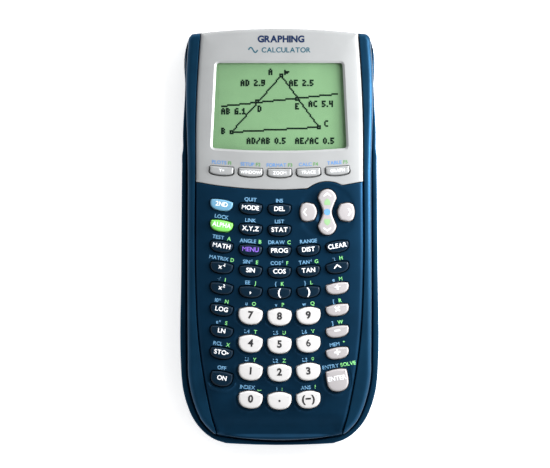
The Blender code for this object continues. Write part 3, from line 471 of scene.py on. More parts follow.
cap_top = box("keypad_faceplate")[1][2]
cap_foot = box("keypad_faceplate")[0][2]
CAP_WALL = 1.7
GAP = 0.3  # between neighbouring pieces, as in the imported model
cap_under = cap_top - CAP_WALL
flange_top = cap_under - GAP
rail_top = box("front_housing")[1][2]
front_foot = box("front_housing")[0][2]
lcd_top = box("lcd_module")[1][2]
window_top = box("display_window")[1][2]
ROW_RADIUS = 165.0
FUNCTION_ROW_RADIUS = 350.0
KEY_GAP = 0.35

def grown(node):
    """A node's box in plan, grown on all sides by the gap."""
    low, high = box(node)
    return low[0] - GAP, high[0] + GAP, low[1] - GAP, high[1] + GAP


key_nodes = [
    node for node in frame["nodes"]
    if node.endswith("_key") or node.startswith(("number_key", "function_key", "arrow_"))
]


def key_outline(node):
    """The outline of a keycap above its flange, with small round corners."""
    return smooth(seen_loops(node, above=flange_top + 0.05)[0], spacing=0.3, width=0.18, corner=34)


outlines = {node: key_outline(node) for node in key_nodes}


def key_place(node):
    """The middle of a key, and how far its arc has turned it."""
    low, high = box(node)
    x, y = ((low + high) / 2)[:2]
    if node.startswith("arrow_"):
        return np.array([x, y]), 0.0
    radius = FUNCTION_ROW_RADIUS if node.startswith("function_") else ROW_RADIUS
    return np.array([x, y]), math.asin(x / radius)


places = {node: key_place(node) for node in key_nodes}


def turned(points, place):
    """Flat points about the origin, turned and moved to a key's place."""
    (x, y), angle = place
    c, s = math.cos(angle), math.sin(angle)
    return points @ np.array([(c, s), (-s, c)]) + (x, y)


def on_key(points, place):
    """Flat points in a key's own axes, with its middle at the origin."""
    (x, y), angle = place
    c, s = math.cos(angle), math.sin(angle)
    return (points - (x, y)) @ np.array([(c, -s), (s, c)])


# ---------------------------------------------------------------- keys

KEY_EDGE = 0.75
PILLOW = 0.3
FLANGE = 0.5  # how far a key's foot reaches beyond its cap
DRAFT = 0.05  # how far the cap has drawn in where its edge begins
ROCKER_ROOM = 0.8  # what a foot that tilts needs below the plate
FINISH_OF_SLOT = {
    "white_key": WHITE, "grey_key": GREY, "dark_key": DARK, "blue_key": BLUE, "green_key": GREEN,
    "silver_plastic": SILVER,
}
slot_of_node = {part["node"]: part["material_slot"] for part in frame["record"]["subparts"]}


def key_height(node, points):
    """The height of a keycap's face: its top, less a drop that grows with the square of the distance."""
    low, high = box(node)
    half = (high - low)[:2] / 2
    local = on_key(points, places[node]) / half
    return high[2] - PILLOW * (local**2).sum(1) / 2


def make_key(node):
    """A keycap on its flanged foot. Its edge is a quarter round, each ring the outline moved inwards."""
    outline = outlines[node]
    low, high = box(node)
    middle = outline.mean(0)
    foot = inset(outline, -FLANGE)
    tilting = ROCKER_ROOM if node == "arrow_rocker_up_down" else 0.0
    rings = [(foot, low[2]), (foot, flange_top - tilting), (outline, flange_top - tilting)]
    for distance in KEY_EDGE * (1 - np.cos(np.linspace(0, math.pi / 2, 7))):
        ring = inset(outline, distance + DRAFT)
        rings.append(np.column_stack([ring, key_height(node, ring) - edge_drop(distance, KEY_EDGE)]))
    last = inset(outline, KEY_EDGE + DRAFT)
    for share in (0.9, 0.72, 0.5, 0.25):
        ring = middle + (last - middle) * share
        rings.append(np.column_stack([ring, key_height(node, ring)]))
    piece = make_piece(node + "_cap", *stacked(rings), FINISH_OF_SLOT[slot_of_node[node]], node)
    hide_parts(node)


for node in key_nodes:
    make_key(node)


# ---------------------------------------------------------------- top plates

CROWN, CROWN_DROP = 10.0, 0.9
SEAM_ROLL, SEAM_DROP = 1.8, 0.9
PLATE_EDGE = 0.3


def side_points(outer, other):
    """The points of a plate's outline that don't run along the other plate."""
    return outer[distance_to(outer, [other], 3.0) > 1.0]


bezel_loops = seen_loops("display_bezel", above=cap_foot + 0.5)
faceplate_loops = seen_loops("keypad_faceplate", above=cap_foot + 0.5)
bezel_outer = smooth(bezel_loops[0], 0.6, 0.25, corner=24)
faceplate_outer = smooth(faceplate_loops[0], 0.6, 0.25, corner=24)
display_hole = smooth(bezel_loops[1], 0.5, 0.5, corner=14)
bezel_sides = side_points(bezel_outer, faceplate_outer)
faceplate_sides = side_points(faceplate_outer, bezel_outer)


def key_hole(node):
    """A key's hole: its outline grown by the gap, and by more below a function key."""
    outline = outlines[node]
    gap = np.full(len(outline), KEY_GAP)
    if node.startswith("function_"):
        low, high = outline.min(0)[1], outline.max(0)[1]
        gap += 0.4 * ease(outline[:, 1], high, low + 1.0) - 0.2
    return inset(outline, -gap)


function_keys = [node for node in key_nodes if node.startswith("function_")]
number_like = [node for node in key_nodes if slot_of_node[node] == "white_key" or node == "enter_key"]
plain_keys = [node for node in key_nodes if node not in function_keys]
pad_x, pad_y = places["arrow_rocker_up_down"][0]
pad_reach = (box("arrow_rocker_up_down")[1][1] - box("arrow_rocker_up_down")[0][1]) / 2 - FLANGE

OPENING_BEVEL, OPENING_SLOPE = 1.0, 0.8
FUNCTION_HOLE_EDGE, HOLE_EDGE = 0.2, 0.22
MOAT_DEPTH, MOAT_NEAR, MOAT_FAR = 0.22, 0.9, 1.5
PAD_RIM_DEPTH, PAD_RIM_NEAR, PAD_RIM_FAR = 0.2, 0.8, 2.8
DISH_DEPTH, DISH_NEAR, DISH_FAR = 0.9, 3.0, 7.0
RIDGE_HEIGHT, RIDGE_AWAY, RIDGE_WIDTH = 0.6, 1.9, 0.45
SCOOP_DEPTH, SCOOP_AT_SIDES = 1.35, 0.35


def side_drop(spots, sides):
    """How far a plate has fallen towards its sides: a wide crown, and a tight roll at the seam."""
    away = distance_to(spots, [sides], CROWN + 1)
    return edge_drop(away, CROWN, CROWN_DROP) + edge_drop(away, SEAM_ROLL, SEAM_DROP)


def bezel_height(spots):
    """Flat, rolled off at the sides and far end, with a straight bevel round the display."""
    height = cap_top - side_drop(spots, bezel_sides)
    height = height - edge_drop(distance_to(spots, [bezel_outer]), PLATE_EDGE)
    into_bevel = np.clip(OPENING_BEVEL - distance_to(spots, [display_hole]), 0, OPENING_BEVEL)
    height = height - into_bevel * OPENING_SLOPE
    holes = distance_to(spots, [key_hole(node) for node in function_keys], 2.0)
    return height - edge_drop(holes, FUNCTION_HOLE_EDGE)


def faceplate_height(spots):
    """Flat and rolled off at the sides, and lowered round the number keys, at the pad and in a scoop.

    The scoop lies along the near end. A low ridge runs round the lower side of the on key.
    """
    x, y = spots.T
    height = cap_top - side_drop(spots, faceplate_sides)
    height = height - edge_drop(distance_to(spots, [faceplate_outer]), PLATE_EDGE)
    holes = distance_to(spots, [key_hole(node) for node in plain_keys], 3.0)
    numbers = distance_to(spots, [key_hole(node) for node in number_like], 4.0)
    height = height - MOAT_DEPTH * (1 - ease(numbers, MOAT_NEAR, MOAT_FAR)) - edge_drop(holes, HOLE_EDGE)
    from_pad = np.hypot(x - pad_x, y - pad_y)
    rim = 1 - ease(from_pad, pad_reach + PAD_RIM_NEAR, pad_reach + PAD_RIM_FAR)
    dish = 1 - ease(from_pad, DISH_NEAR, DISH_FAR)
    height = height - PAD_RIM_DEPTH * rim - DISH_DEPTH * dish
    on_y = outlines["on_key"].mean(0)[1]
    from_on = distance_to(spots, [outlines["on_key"]], 4.0)
    below = ease(on_y - y, 1.5, 3.2) * (1 - ease(y - on_y, 0, 1))
    height = height + RIDGE_HEIGHT * bell(from_on, RIDGE_AWAY, RIDGE_WIDTH) * below
    from_end = y - cad_bounds[0][1] / MM
    scoop = ease(from_end, 3.2, 5.6) * (1 - ease(from_end, 8.0, 15.0))
    across = SCOOP_AT_SIDES + (1 - SCOOP_AT_SIDES) * (1 - ease(np.abs(x), 24.0, 32.0))
    return height - SCOOP_DEPTH * scoop * across


SKIRT = 1.3


def underside(outer, pocket=None):
    """A plate's bottom: a skirt round the edge, hollow inside it, and a pocket where a window lies."""
    hollow = inset(outer, SKIRT)

    def height(spots):
        z = np.where(inside(spots, hollow), cap_under, cap_foot)
        return z if pocket is None else np.where(inside(spots, pocket), window_top + GAP, z)

    return height, [hollow] + ([] if pocket is None else [pocket])


def make_bezel():
    """The silver plate round the display, with a pocket below for the window."""
    pocket = rectangle(*grown("display_window"), 0.3)
    bottom, steps = underside(bezel_outer, pocket)
    holes = [display_hole] + [key_hole(node) for node in function_keys]
    plate("silver_bezel", SILVER, [bezel_outer, *holes], bezel_height, bottom, steps,
          node="display_bezel", spacing=1.2)


def make_faceplate():
    """The navy plate with a hole for each key."""
    bottom, steps = underside(faceplate_outer)
    holes = [key_hole(node) for node in plain_keys]
    plate("navy_faceplate", NAVY, [faceplate_outer, *holes], faceplate_height, bottom, steps,
          node="keypad_faceplate", spacing=1.0, rings=(0.1, 0.25, 0.45, 0.7, 1.0, 1.4))


make_bezel()
make_faceplate()


# ---------------------------------------------------------------- housings

REAR_FLOOR, BAY_WALL, SHELF_ROOM = 1.8, 1.2, 1.6
REAR_EDGE, LIP_EDGE, DOOR_EDGE = 2.4, 0.5, 0.35
HINGE_LUG = 1.4
ledge_top = cap_foot - GAP
parting = front_foot - GAP
rear_face, door_top = box("battery_door")[0][2], box("battery_door")[1][2]
rear_inside = rear_face + REAR_FLOOR
rear_top = box("rear_housing")[1][2]


def rail_height(loop, outer):
    """A rail's top: rounded over a long way to its flank, and slightly on its inner edge."""
    flank = loop[distance_to(loop, [outer], 3.0) < 0.5]

    def height(spots):
        drop = edge_drop(distance_to(spots, [flank]), 2.2, 2.0)
        return rail_top - drop - edge_drop(distance_to(spots, [loop]), 0.25)

    return height


def make_front_housing():
    """The frame round the body, and the two rails that stand on it beside the plates."""
    loops = seen_loops("front_housing", below=front_foot + 0.5, facing=-1)[:2]
    outer, inner = (smooth(loop, 0.6, 0.3) for loop in loops)
    plate("front_frame", RAIL, [outer, inner], ledge_top, front_foot, node="front_housing", spacing=2.5,
          rings=(0.3, 0.8))
    for loop in seen_loops("front_housing", above=ledge_top + 0.5)[:2]:
        side = "left" if loop.mean(0)[0] < 0 else "right"
        fine = smooth(loop, 0.5, 0.25)
        plate(f"{side}_rail", RAIL, [fine], rail_height(fine, outer), ledge_top, spacing=1.0,
              rings=(0.12, 0.3, 0.6, 1.0, 1.5, 2.0))


def small_rounds(loops, radius):
    """The middles of the loops that are about as long as a circle of a radius."""
    girth = 2 * math.pi * radius
    return [loop.mean(0) for loop in loops if abs(length_of(loop) - girth) < 0.08 * girth]


POST_RADIUS, SCREW_HOLE_RADIUS, SCREW_DEPTH = 2.8, 2.5, 2.4
posts = small_rounds(
    seen_loops("rear_housing", above=parting - 0.05, below=parting + 0.05), POST_RADIUS
)
feet = [np.array(mount["pos_m"][:2]) / MM for mount in frame["record"]["mounts"]]


# Each port's middle, half width, half height and corner radius: the data socket, then the link jack.
PORTS = ((20.7, 3.7, 1.6, 0.5), (29.6, 1.8, 1.8, 1.75))
PORT_LEVEL = 7.43
PORT_FROM, PORT_TO = -9.0, 3.0  # how far a port's cut runs on each side of the far end


def cut_ports(shell):
    """The two openings in the far end wall: a section carried through the wall is cut from the shell."""
    far = cad_bounds[1][1] / MM
    for middle, half_wide, half_high, radius in PORTS:
        section = rectangle(middle - half_wide, middle + half_wide,
                            PORT_LEVEL - half_high, PORT_LEVEL + half_high, radius, 0.4)
        count = len(section)
        near, away = (
            np.column_stack([section[:, 0], np.full(count, far + past), section[:, 1]])
            for past in (PORT_FROM, PORT_TO)
        )
        around = np.arange(count)
        ring = (around + 1) % count
        walls = np.stack([around, around + count, ring + count, ring], 1)
        ends = [tuple(range(count)), tuple(range(2 * count - 1, count - 1, -1))]
        faces = [tuple(wall) for wall in walls.tolist()] + ends
        mesh = bpy.data.meshes.new("port")
        mesh.from_pydata((np.vstack([near, away]) * MM).tolist(), [], faces)
        cutter = bpy.data.objects.new("port", mesh)
        bpy.context.scene.collection.objects.link(cutter)
        cut = shell.modifiers.new("port", "BOOLEAN")
        cut.operation, cut.solver, cut.object = "DIFFERENCE", "EXACT", cutter
        done = bpy.data.meshes.new_from_object(
            shell.evaluated_get(bpy.context.evaluated_depsgraph_get())
        )
        shell.modifiers.clear()
        shell.data = done
        bpy.data.objects.remove(cutter)


def make_rear_housing():
    """The tub with its battery compartment, and the guide lip that stands on it beside the front housing.

    The outline's own notches at the ports are left out, and the ports are cut as openings instead.
    """
    outline = seen_loops("rear_housing", facing=-1)[0]
    hull = outline[convex_hull_2d(outline.tolist())]
    at_far_end = outline[:, 1] > box("battery_cells")[1][1] - 2.0
    in_port = at_far_end & (distance_to(outline, [resampled(hull, 0.5)]) > 0.35)
    outer = smooth(outline[~in_port], 0.6, 0.3)
    inner = seen_loops("rear_housing", above=rear_inside - 0.1, below=rear_inside + 0.1)[0]
    hollow = smooth(inner, 1.2, 0.3)
    left, right, start, end = grown("battery_door")
    door_rect = rectangle(left, right, start + HINGE_LUG, end, GAP)
    cells = grown("battery_cells")
    backup = (*grown("backup_cell_cover")[:2], *cells[2:])
    lower, upper = cells[2] - BAY_WALL, cells[3] + BAY_WALL
    deep = rectangle(cells[0] - BAY_WALL, cells[1] + BAY_WALL, lower, upper, 0.05)
    shelf = rectangle(cells[1] + 1.4, backup[1] + BAY_WALL, lower, upper, 0.05)
    cell_bay, backup_bay = rectangle(*cells, 0.05), rectangle(*backup, 0.05)
    bay_ceiling = box("battery_cells")[1][2] + GAP
    shelf_under = door_top + SHELF_ROOM
    heads = [circle(x, y, SCREW_HOLE_RADIUS, 32) for x, y in posts]
    bosses = [circle(x, y, POST_RADIUS, 32) for x, y in posts]

    def floor(spots):
        z = np.where(inside(spots, hollow), rear_inside, parting)
        for boss in bosses:
            z = np.where(inside(spots, boss), parting, z)
        z = np.where(inside(spots, shelf), shelf_under + BAY_WALL, z)
        return np.where(inside(spots, deep), bay_ceiling + 1.0, z)

    def back(spots):
        z = rear_face + edge_drop(distance_to(spots, [outer]), REAR_EDGE)
        for head in heads:
            z = np.where(inside(spots, head), rear_face + SCREW_DEPTH, z)
        z = np.where(inside(spots, door_rect), door_top + GAP, z)
        z = np.where(inside(spots, backup_bay), shelf_under, z)
        return np.where(inside(spots, cell_bay), bay_ceiling, z)

    steps = [hollow, deep, shelf, door_rect, cell_bay, backup_bay, *heads, *bosses]
    shell = plate("rear_shell", RAIL, [outer], floor, back, steps, node="rear_housing", spacing=2.0,
                  rings=(0.15, 0.4, 0.8, 1.3, 1.9))
    cut_ports(shell)
    for number, loop in enumerate(seen_loops("rear_housing", above=parting + 1.0)):
        fine = smooth(loop, 0.4, 0.1, corner=15)
        plate(f"guide_lip_{number}", RAIL, [fine],
              lambda spots: rear_top - edge_drop(distance_to(spots, [fine]), LIP_EDGE), parting,
              spacing=1.5, rings=(0.1, 0.25, 0.5))


RIB_HEIGHT, RIB_PITCH = 0.25, 1.2


def make_battery_door():
    """The door, with grip ribs near its latch: a cosine along the body, faded out at their edges."""
    outline = smooth(seen_loops("battery_door", facing=-1)[0], 0.5, 0.1)
    grip_y = box("battery_door")[1][1] - 3.0

    def back(spots):
        x, y = spots.T
        z = rear_face + edge_drop(distance_to(spots, [outline]), DOOR_EDGE)
        ribs = RIB_HEIGHT * (1 + np.cos(2 * math.pi * (y - grip_y) / RIB_PITCH)) / 2
        return z + ribs * (1 - ease(np.abs(x), 5.0, 5.6)) * (1 - ease(np.abs(y - grip_y), 1.6, 2.0))

    plate("battery_lid", NAVY, [outline], door_top, back, body="battery_door", node="battery_door",
          spacing=1.0, rings=(0.12, 0.25, 0.45, 0.8))


SCREW_HEAD_RADIUS, SCREW_FACE, CROSS_FACE, SCREW_UNDER = 2.2, 1.2, 1.9, 2.3
CROSS_ARM, CROSS_REACH = 0.3, 1.3
CROSS = np.array([
    (CROSS_ARM, CROSS_ARM), (CROSS_ARM, CROSS_REACH), (-CROSS_ARM, CROSS_REACH), (-CROSS_ARM, CROSS_ARM),
    (-CROSS_REACH, CROSS_ARM), (-CROSS_REACH, -CROSS_ARM), (-CROSS_ARM, -CROSS_ARM),
    (-CROSS_ARM, -CROSS_REACH), (CROSS_ARM, -CROSS_REACH), (CROSS_ARM, -CROSS_ARM),
    (CROSS_REACH, -CROSS_ARM), (CROSS_REACH, CROSS_ARM),
])
FOOT_PROFILE = ((1.6, 0.0), (2.4, 0.08), (2.85, 0.3), (3.0, 0.8), (3.0, 1.2))  # radius, height


def make_screws_and_feet():
    """Six screws with crossed recesses deep in their holes, and four rubber feet."""
    screws = []
    for x, y in posts:
        head, cross = circle(x, y, SCREW_HEAD_RADIUS, 32), CROSS + (x, y)
        spots, faces = covered([head], [cross], spacing=0.5, rings=(0.1, 0.25))
        face = rear_face + np.where(inside(spots, cross), CROSS_FACE, SCREW_FACE)
        screws.append(between(spots, faces, np.full(len(spots), rear_face + SCREW_UNDER), face))
    make_piece("case_screws", *joined(screws), NICKEL)
    rubbers = [
        stacked([(circle(x, y, radius), height) for radius, height in FOOT_PROFILE]) for x, y in feet
    ]
    make_piece("rubber_feet", *joined(rubbers), RUBBER)


make_front_housing()
make_rear_housing()
make_battery_door()
make_screws_and_feet()


# ---------------------------------------------------------------- prints

CAPITAL = 0.682  # the font's capital height, as a share of its size
PRINT_RISE = 0.06
PRINT_DEPTH = 0.12
WORD_SPACE, LETTER_SPACE = 0.3, 0.085  # as shares of the font's size


def outlined(text, bold):
    """A text's flat triangles from the font, with its strokes widened by bold on each side."""
    curve = bpy.data.curves.new("letters", "FONT")
    curve.body = text
    curve.offset = bold
    lettering = bpy.data.objects.new("letters", curve)
    mesh = bpy.data.meshes.new_from_object(lettering)
    bpy.data.objects.remove(lettering)
    mesh.calc_loop_triangles()
    points = np.empty(3 * len(mesh.vertices))
    mesh.vertices.foreach_get("co", points)
    order = np.empty(3 * len(mesh.loop_triangles), np.int32)
    mesh.loop_triangles.foreach_get("vertices", order)
    bpy.data.meshes.remove(mesh)
    spots, index = np.unique(np.round(points.reshape(-1, 3)[:, :2], 5), axis=0, return_inverse=True)
    faces = index.reshape(-1)[order].reshape(-1, 3)
    corners = spots[faces]
    first, second = corners[:, 1] - corners[:, 0], corners[:, 2] - corners[:, 0]
    area = (first[:, 0] * second[:, 1] - first[:, 1] * second[:, 0]) / 2
    faces = np.where((area < 0)[:, None], faces[:, ::-1], faces)[np.abs(area) > 1e-9]
    return spots, faces, np.abs(area).sum()


def letters(text, height, bold=0.012, spread=1.0):
    """A text's spots and triangles, its capitals of a given height, centred on the origin.

    A stroke can be widened so far that its glyph doesn't fill. That shows in the text's area, which must
    grow with the strokes, so each glyph tries thinner strokes until it does.
    """
    parts, edge = [], 0.0
    for glyph in text:
        spots, faces, area = outlined(glyph, 0.0)
        if glyph == " " or not len(faces):
            edge += WORD_SPACE * spread
            continue
        ends = border(faces, len(spots))
        girth = np.linalg.norm(spots[ends[:, 0]] - spots[ends[:, 1]], axis=1).sum()
        low, high = spots[:, 0].min(), spots[:, 0].max()
        for wide in (bold, 0.7 * bold, 0.45 * bold, 0.25 * bold):
            tried, tried_faces, tried_area = outlined(glyph, wide)
            if abs(tried_area - area - wide * girth) < 0.35 * wide * girth:
                spots, faces = tried, tried_faces
                break
        parts.append((spots + (edge - low, 0), faces))
        edge += high - low + LETTER_SPACE * spread + bold
    spots, faces = joined(parts)
    spots = spots - ((spots[:, 0].min() + spots[:, 0].max()) / 2, CAPITAL / 2)
    return spots * height / CAPITAL, faces


def writing(text, height, bold=0.012):
    """A text whose part after an underscore is raised and small."""
    main, _, raised = text.partition("_")
    spots, faces = letters(main, height, bold)
    if not raised:
        return spots, faces
    small, more = letters(raised, 0.66 * height, 1.3 * bold)
    small = small + (np.ptp(spots[:, 0]) / 2 + 0.12 * height + np.ptp(small[:, 0]) / 2, 0.42 * height)
    spots, faces = joined([(spots, faces), (small, more)])
    return spots - ((spots[:, 0].min() + spots[:, 0].max()) / 2, 0), faces


def ribbon(path, width):
    """A flat stroke of a given width along an open path."""
    path = np.array(path, float)
    along = np.gradient(path, axis=0)
    along /= np.linalg.norm(along, axis=1)[:, None]
    side = np.stack([-along[:, 1], along[:, 0]], 1) * np.asarray(width).reshape(-1, 1) / 2
    count = len(path)
    a = np.arange(count - 1)
    b = a + count
    faces = np.vstack([np.stack([a, b, b + 1], 1), np.stack([a, b + 1, a + 1], 1)])
    return np.vstack([path + side, path - side]), faces


def patch(loop):
    """The flat area of a convex loop, as a fan round its middle."""
    count = len(loop)
    around = np.arange(count)
    faces = np.stack([around, (around + 1) % count, np.full(count, count)], 1)
    return np.vstack([loop, loop.mean(0)]), faces


def printed(name, parts, height, material, body="root"):
    """Prints a little proud of a face: each a thin closed solid that follows the face's height."""
    spots, faces = joined(parts)
    top = height(spots) + PRINT_RISE
    return make_piece(name, *between(spots, faces, top, top - PRINT_DEPTH), material, body)


def shifted(part, x, y):
    """Spots and triangles moved in plan."""
    return part[0] + (x, y), part[1]


# Each key's own legend, then the blue label over it, then the green one.
LEGENDS = {
    "shift_key": ("2ND", "", ""), "mode_key": ("MODE", "QUIT", ""),
    "delete_key": ("DEL", "INS", ""), "alpha_key": ("ALPHA", "LOCK", ""),
    "variable_key": ("X,Y,Z", "LINK", ""), "statistics_key": ("STAT", "LIST", ""),
    "math_key": ("MATH", "TEST", "A"), "applications_key": ("MENU", "ANGLE", "B"),
    "program_key": ("PROG", "DRAW", "C"), "distribution_key": ("DIST", "RANGE", ""),
    "clear_key": ("CLEAR", "", ""), "inverse_key": ("x_-1", "MATRIX", "D"),
    "sine_key": ("SIN", "SIN_-1", "E"), "cosine_key": ("COS", "COS_-1", "F"),
    "tangent_key": ("TAN", "TAN_-1", "G"), "power_key": ("^", "π", "H"),
    "square_key": ("x_2", "√", "I"), "comma_key": (",", "EE", "J"),
    "open_bracket_key": ("(", "{", "K"), "close_bracket_key": (")", "}", "L"),
    "divide_key": ("÷", "e", "M"), "logarithm_key": ("LOG", "10_x", "N"),
    "number_key_7": ("7", "u", "O"), "number_key_8": ("8", "v", "P"),
    "number_key_9": ("9", "w", "Q"), "multiply_key": ("×", "[", "R"),
    "natural_logarithm_key": ("LN", "e_x", "S"), "number_key_4": ("4", "L4", "T"),
    "number_key_5": ("5", "L5", "U"), "number_key_6": ("6", "L6", "V"),
    "subtract_key": ("−", "]", "W"), "store_key": ("STO▸", "RCL", "X"),
    "number_key_1": ("1", "L1", "Y"), "number_key_2": ("2", "L2", "Z"),
    "number_key_3": ("3", "L3", "θ"), "add_key": ("+", "MEM", '"'), "on_key": ("ON", "OFF", ""),
    "number_key_0": ("0", "INDEX", "⎵"), "point_key": (".", "i", ":"),
    "negative_key": ("(−)", "ANS", "?"), "enter_key": ("ENTER", "ENTRY", "SOLVE"),
    "function_key_1": ("Y=", "PLOTS", "F1"), "function_key_2": ("WINDOW", "SETUP", "F2"),
    "function_key_3": ("ZOOM", "FORMAT", "F3"), "function_key_4": ("TRACE", "CALC", "F4"),
    "function_key_5": ("GRAPH", "TABLE", "F5"),
}
CARET = ((-1.6, -0.7), (-0.85, 0.0), (0, 0.75), (0.85, 0.0), (1.6, -0.7))
CARET_WIDTH = (0.35, 0.55, 0.65, 0.55, 0.35)
# A legend's capital height, boldness, and rise above the middle of its cap.
WORD_LEGEND, DIGIT_LEGEND, FUNCTION_LEGEND = (1.95, 0.022, 0.45), (3.05, 0.04, 0.45), (1.35, 0.02, 0.0)
OTHER_LEGENDS = {
    **dict.fromkeys("÷×−+", (3.4, 0.03, 0.45)), **dict.fromkeys("()", (2.9, 0.03, 0.45)),
    ",": (2.9, 0.03, 1.0), ".": (4.2, 0.02, 1.8), "ENTER": (1.95, 0.022, 1.0),
}
LEGEND_MARGIN = 1.5  # what a legend keeps free at each side of its cap
LABEL_HEIGHT, LABEL_RISE, LABEL_BOLD = 1.6, 1.55, 0.018
FUNCTION_LABEL_HEIGHT, FUNCTION_LABEL_RISE = 1.5, 1.65
NARROW_GAP, WIDE_GAP = 0.8, 2.0  # between the two labels over a key
ENTER_LABEL_SHIFT = 1.0


def outline_half(node):
    """Half a keycap's height along its own upright axis."""
    return np.ptp(on_key(outlines[node], places[node])[:, 1]) / 2


def legend_size(node, legend):
    """A legend's capital height, boldness and rise."""
    usual = DIGIT_LEGEND if slot_of_node[node] == "white_key" else WORD_LEGEND
    if node.startswith("function_"):
        usual = FUNCTION_LEGEND
    return OTHER_LEGENDS.get(legend, usual)


def legend_ink(node, legend):
    """White on the dark and grey caps, black on the white ones, and purple for one."""
    if legend == "MENU":
        return PRINT_PURPLE
    return PRINT_BLACK if slot_of_node[node] == "white_key" else PRINT_WHITE


def make_legend(node, legend):
    """The legend on a key's cap, narrowed where it would come too near the cap's sides."""
    tall, bold, rise = legend_size(node, legend)
    spots, faces = ribbon(CARET, CARET_WIDTH) if legend == "^" else writing(legend, tall, bold)
    low, high = box(node)
    widest = high[0] - low[0] - 2 * LEGEND_MARGIN
    width = np.ptp(spots[:, 0])
    if width > widest:
        spots = spots * (widest / width, 1)
    (x, y), angle = places[node]
    printed(f"legend_{node}", [(turned(spots, ((x, y + rise), angle)), faces)],
            lambda spots: key_height(node, spots), legend_ink(node, legend), node)


def labels_over(node, blue, green):
    """The labels over a key, side by side and centred, each a colour's name and its shape on the plate."""
    on_bezel = node.startswith("function_")
    tall = FUNCTION_LABEL_HEIGHT if on_bezel else LABEL_HEIGHT
    rise = outline_half(node) + (FUNCTION_LABEL_RISE if on_bezel else LABEL_RISE)
    texts = [(color, writing(text, tall, LABEL_BOLD))
             for color, text in (("blue", blue), ("green", green)) if text]
    widths = [np.ptp(spots[:, 0]) for _, (spots, _) in texts]
    gap = max(NARROW_GAP, WIDE_GAP - 0.16 * max(0, sum(widths) - 3.7))
    if on_bezel:
        gap = NARROW_GAP
    (x, y), angle = places[node]
    along = -(sum(widths) + gap * (len(texts) - 1)) / 2
    if node == "enter_key":
        along += ENTER_LABEL_SHIFT
    shapes = []
    for (color, (spots, faces)), width in zip(texts, widths):
        middle = (along + width / 2, 0)
        shapes.append((color, (turned(spots + middle, ((x, y + rise), angle)), faces)))
        along += width + gap
    return shapes


def make_legends():
    """Each key's legend on its cap, and the labels over it on the plate, joined by colour."""
    shelves = {(plate, color): [] for plate in ("faceplate", "bezel") for color in ("blue", "green")}
    for node, (legend, blue, green) in LEGENDS.items():
        make_legend(node, legend)
        below = "bezel" if node.startswith("function_") else "faceplate"
        for color, shape in labels_over(node, blue, green):
            shelves[below, color].append(shape)
    printed("blue_labels", shelves["faceplate", "blue"], faceplate_height, PRINT_BLUE)
    printed("green_labels", shelves["faceplate", "green"], faceplate_height, PRINT_GREEN)
    printed("blue_display_labels", shelves["bezel", "blue"], bezel_height, BEZEL_BLUE)
    printed("green_display_labels", shelves["bezel", "green"], bezel_height, BEZEL_GREEN)


make_legends()


CHEVRON = ((-1.7, -0.75), (-0.9, -0.1), (0, 0.55), (0.9, -0.1), (1.7, -0.75))
CHEVRON_WIDTH = (0.35, 0.6, 0.75, 0.6, 0.35)
CHEVRON_MARGIN = 2.7
ARROW = ((-1.35, 0), (1.35, 0), (1.35, 1.5), (0.9, 2.3), (0, 3.0), (-0.9, 2.3), (-1.35, 1.5))
ARROW_START, DISC_RADIUS, SIDE_MARK_SHIFT = 3.2, 1.45, 1.6


def make_pad_marks():
    """A chevron at each end of the rocker and on each side key, two green arrows and a blue disc."""
    rocker = "arrow_rocker_up_down"
    chevron, faces = ribbon(CHEVRON, CHEVRON_WIDTH)
    reach = pad_reach - CHEVRON_MARGIN
    ends = [(chevron * (1, side) + (pad_x, pad_y + side * reach), faces[:, ::side]) for side in (1, -1)]
    printed("legend_rocker_chevrons", ends, lambda s: key_height(rocker, s), PRINT_WHITE, rocker)
    sideways = np.stack([chevron[:, 1], -chevron[:, 0]], 1)
    for side, node in ((1, "arrow_key_right"), (-1, "arrow_key_left")):
        x, y = places[node][0]
        mark = (sideways * (side, 1) + (x + side * SIDE_MARK_SHIFT, y), faces[:, ::side])
        printed(f"legend_{node}", [mark], lambda s: key_height(node, s), PRINT_WHITE, node)
    spots, fan = patch(resampled(np.array(ARROW), 0.3))
    arrows = [
        (spots * (1, side) + (pad_x, pad_y + side * ARROW_START), fan[:, ::side]) for side in (1, -1)
    ]
    printed("legend_rocker_arrows", arrows, lambda s: key_height(rocker, s), PRINT_ARROW, rocker)
    disc = patch(circle(pad_x, pad_y, DISC_RADIUS))
    printed("legend_rocker_disc", [disc], lambda s: key_height(rocker, s), PRINT_DISC, rocker)


make_pad_marks()


TITLE_PLACE, SUBTITLE_LEVEL = (0.7, 90.0), 85.0
WAVE_LENGTH, WAVE_HEIGHT, WAVE_STROKE, WAVE_ROOM = 4.2, 1.15, 0.55, 6.0


def make_bezel_words():
    """The generic words over the display, the second with a small sine wave beside it."""
    title = shifted(letters("GRAPHING", 2.8, 0.045), *TITLE_PLACE)
    printed("title_words", [title], bezel_height, PRINT_NAVY)
    word = letters("CALCULATOR", 2.2, 0.018, 1.15)
    t = np.linspace(0, 1, 25)
    wave = ribbon(np.stack([t * WAVE_LENGTH, WAVE_HEIGHT * np.sin(2 * math.pi * t)], 1), WAVE_STROKE)
    width = np.ptp(word[0][:, 0])
    start = -(width + WAVE_ROOM) / 2
    word_at = start + WAVE_ROOM + width / 2
    subtitle = [shifted(wave, start, SUBTITLE_LEVEL), shifted(word, word_at, SUBTITLE_LEVEL)]
    printed("subtitle_words", subtitle, bezel_height, PRINT_TEAL)


make_bezel_words()


# ---------------------------------------------------------------- display

DOTS_ACROSS, DOTS_UP = 96, 64
ACTIVE = (-26.5, 26.5, 41.8, 77.7)
DOT_HALF = 0.7  # half a lit dot's side, as a share of the pitch, so that neighbours run together
BORDER_WIDTH, BORDER_AWAY_X, BORDER_AWAY_Y = 0.35, 1.2, 1.0
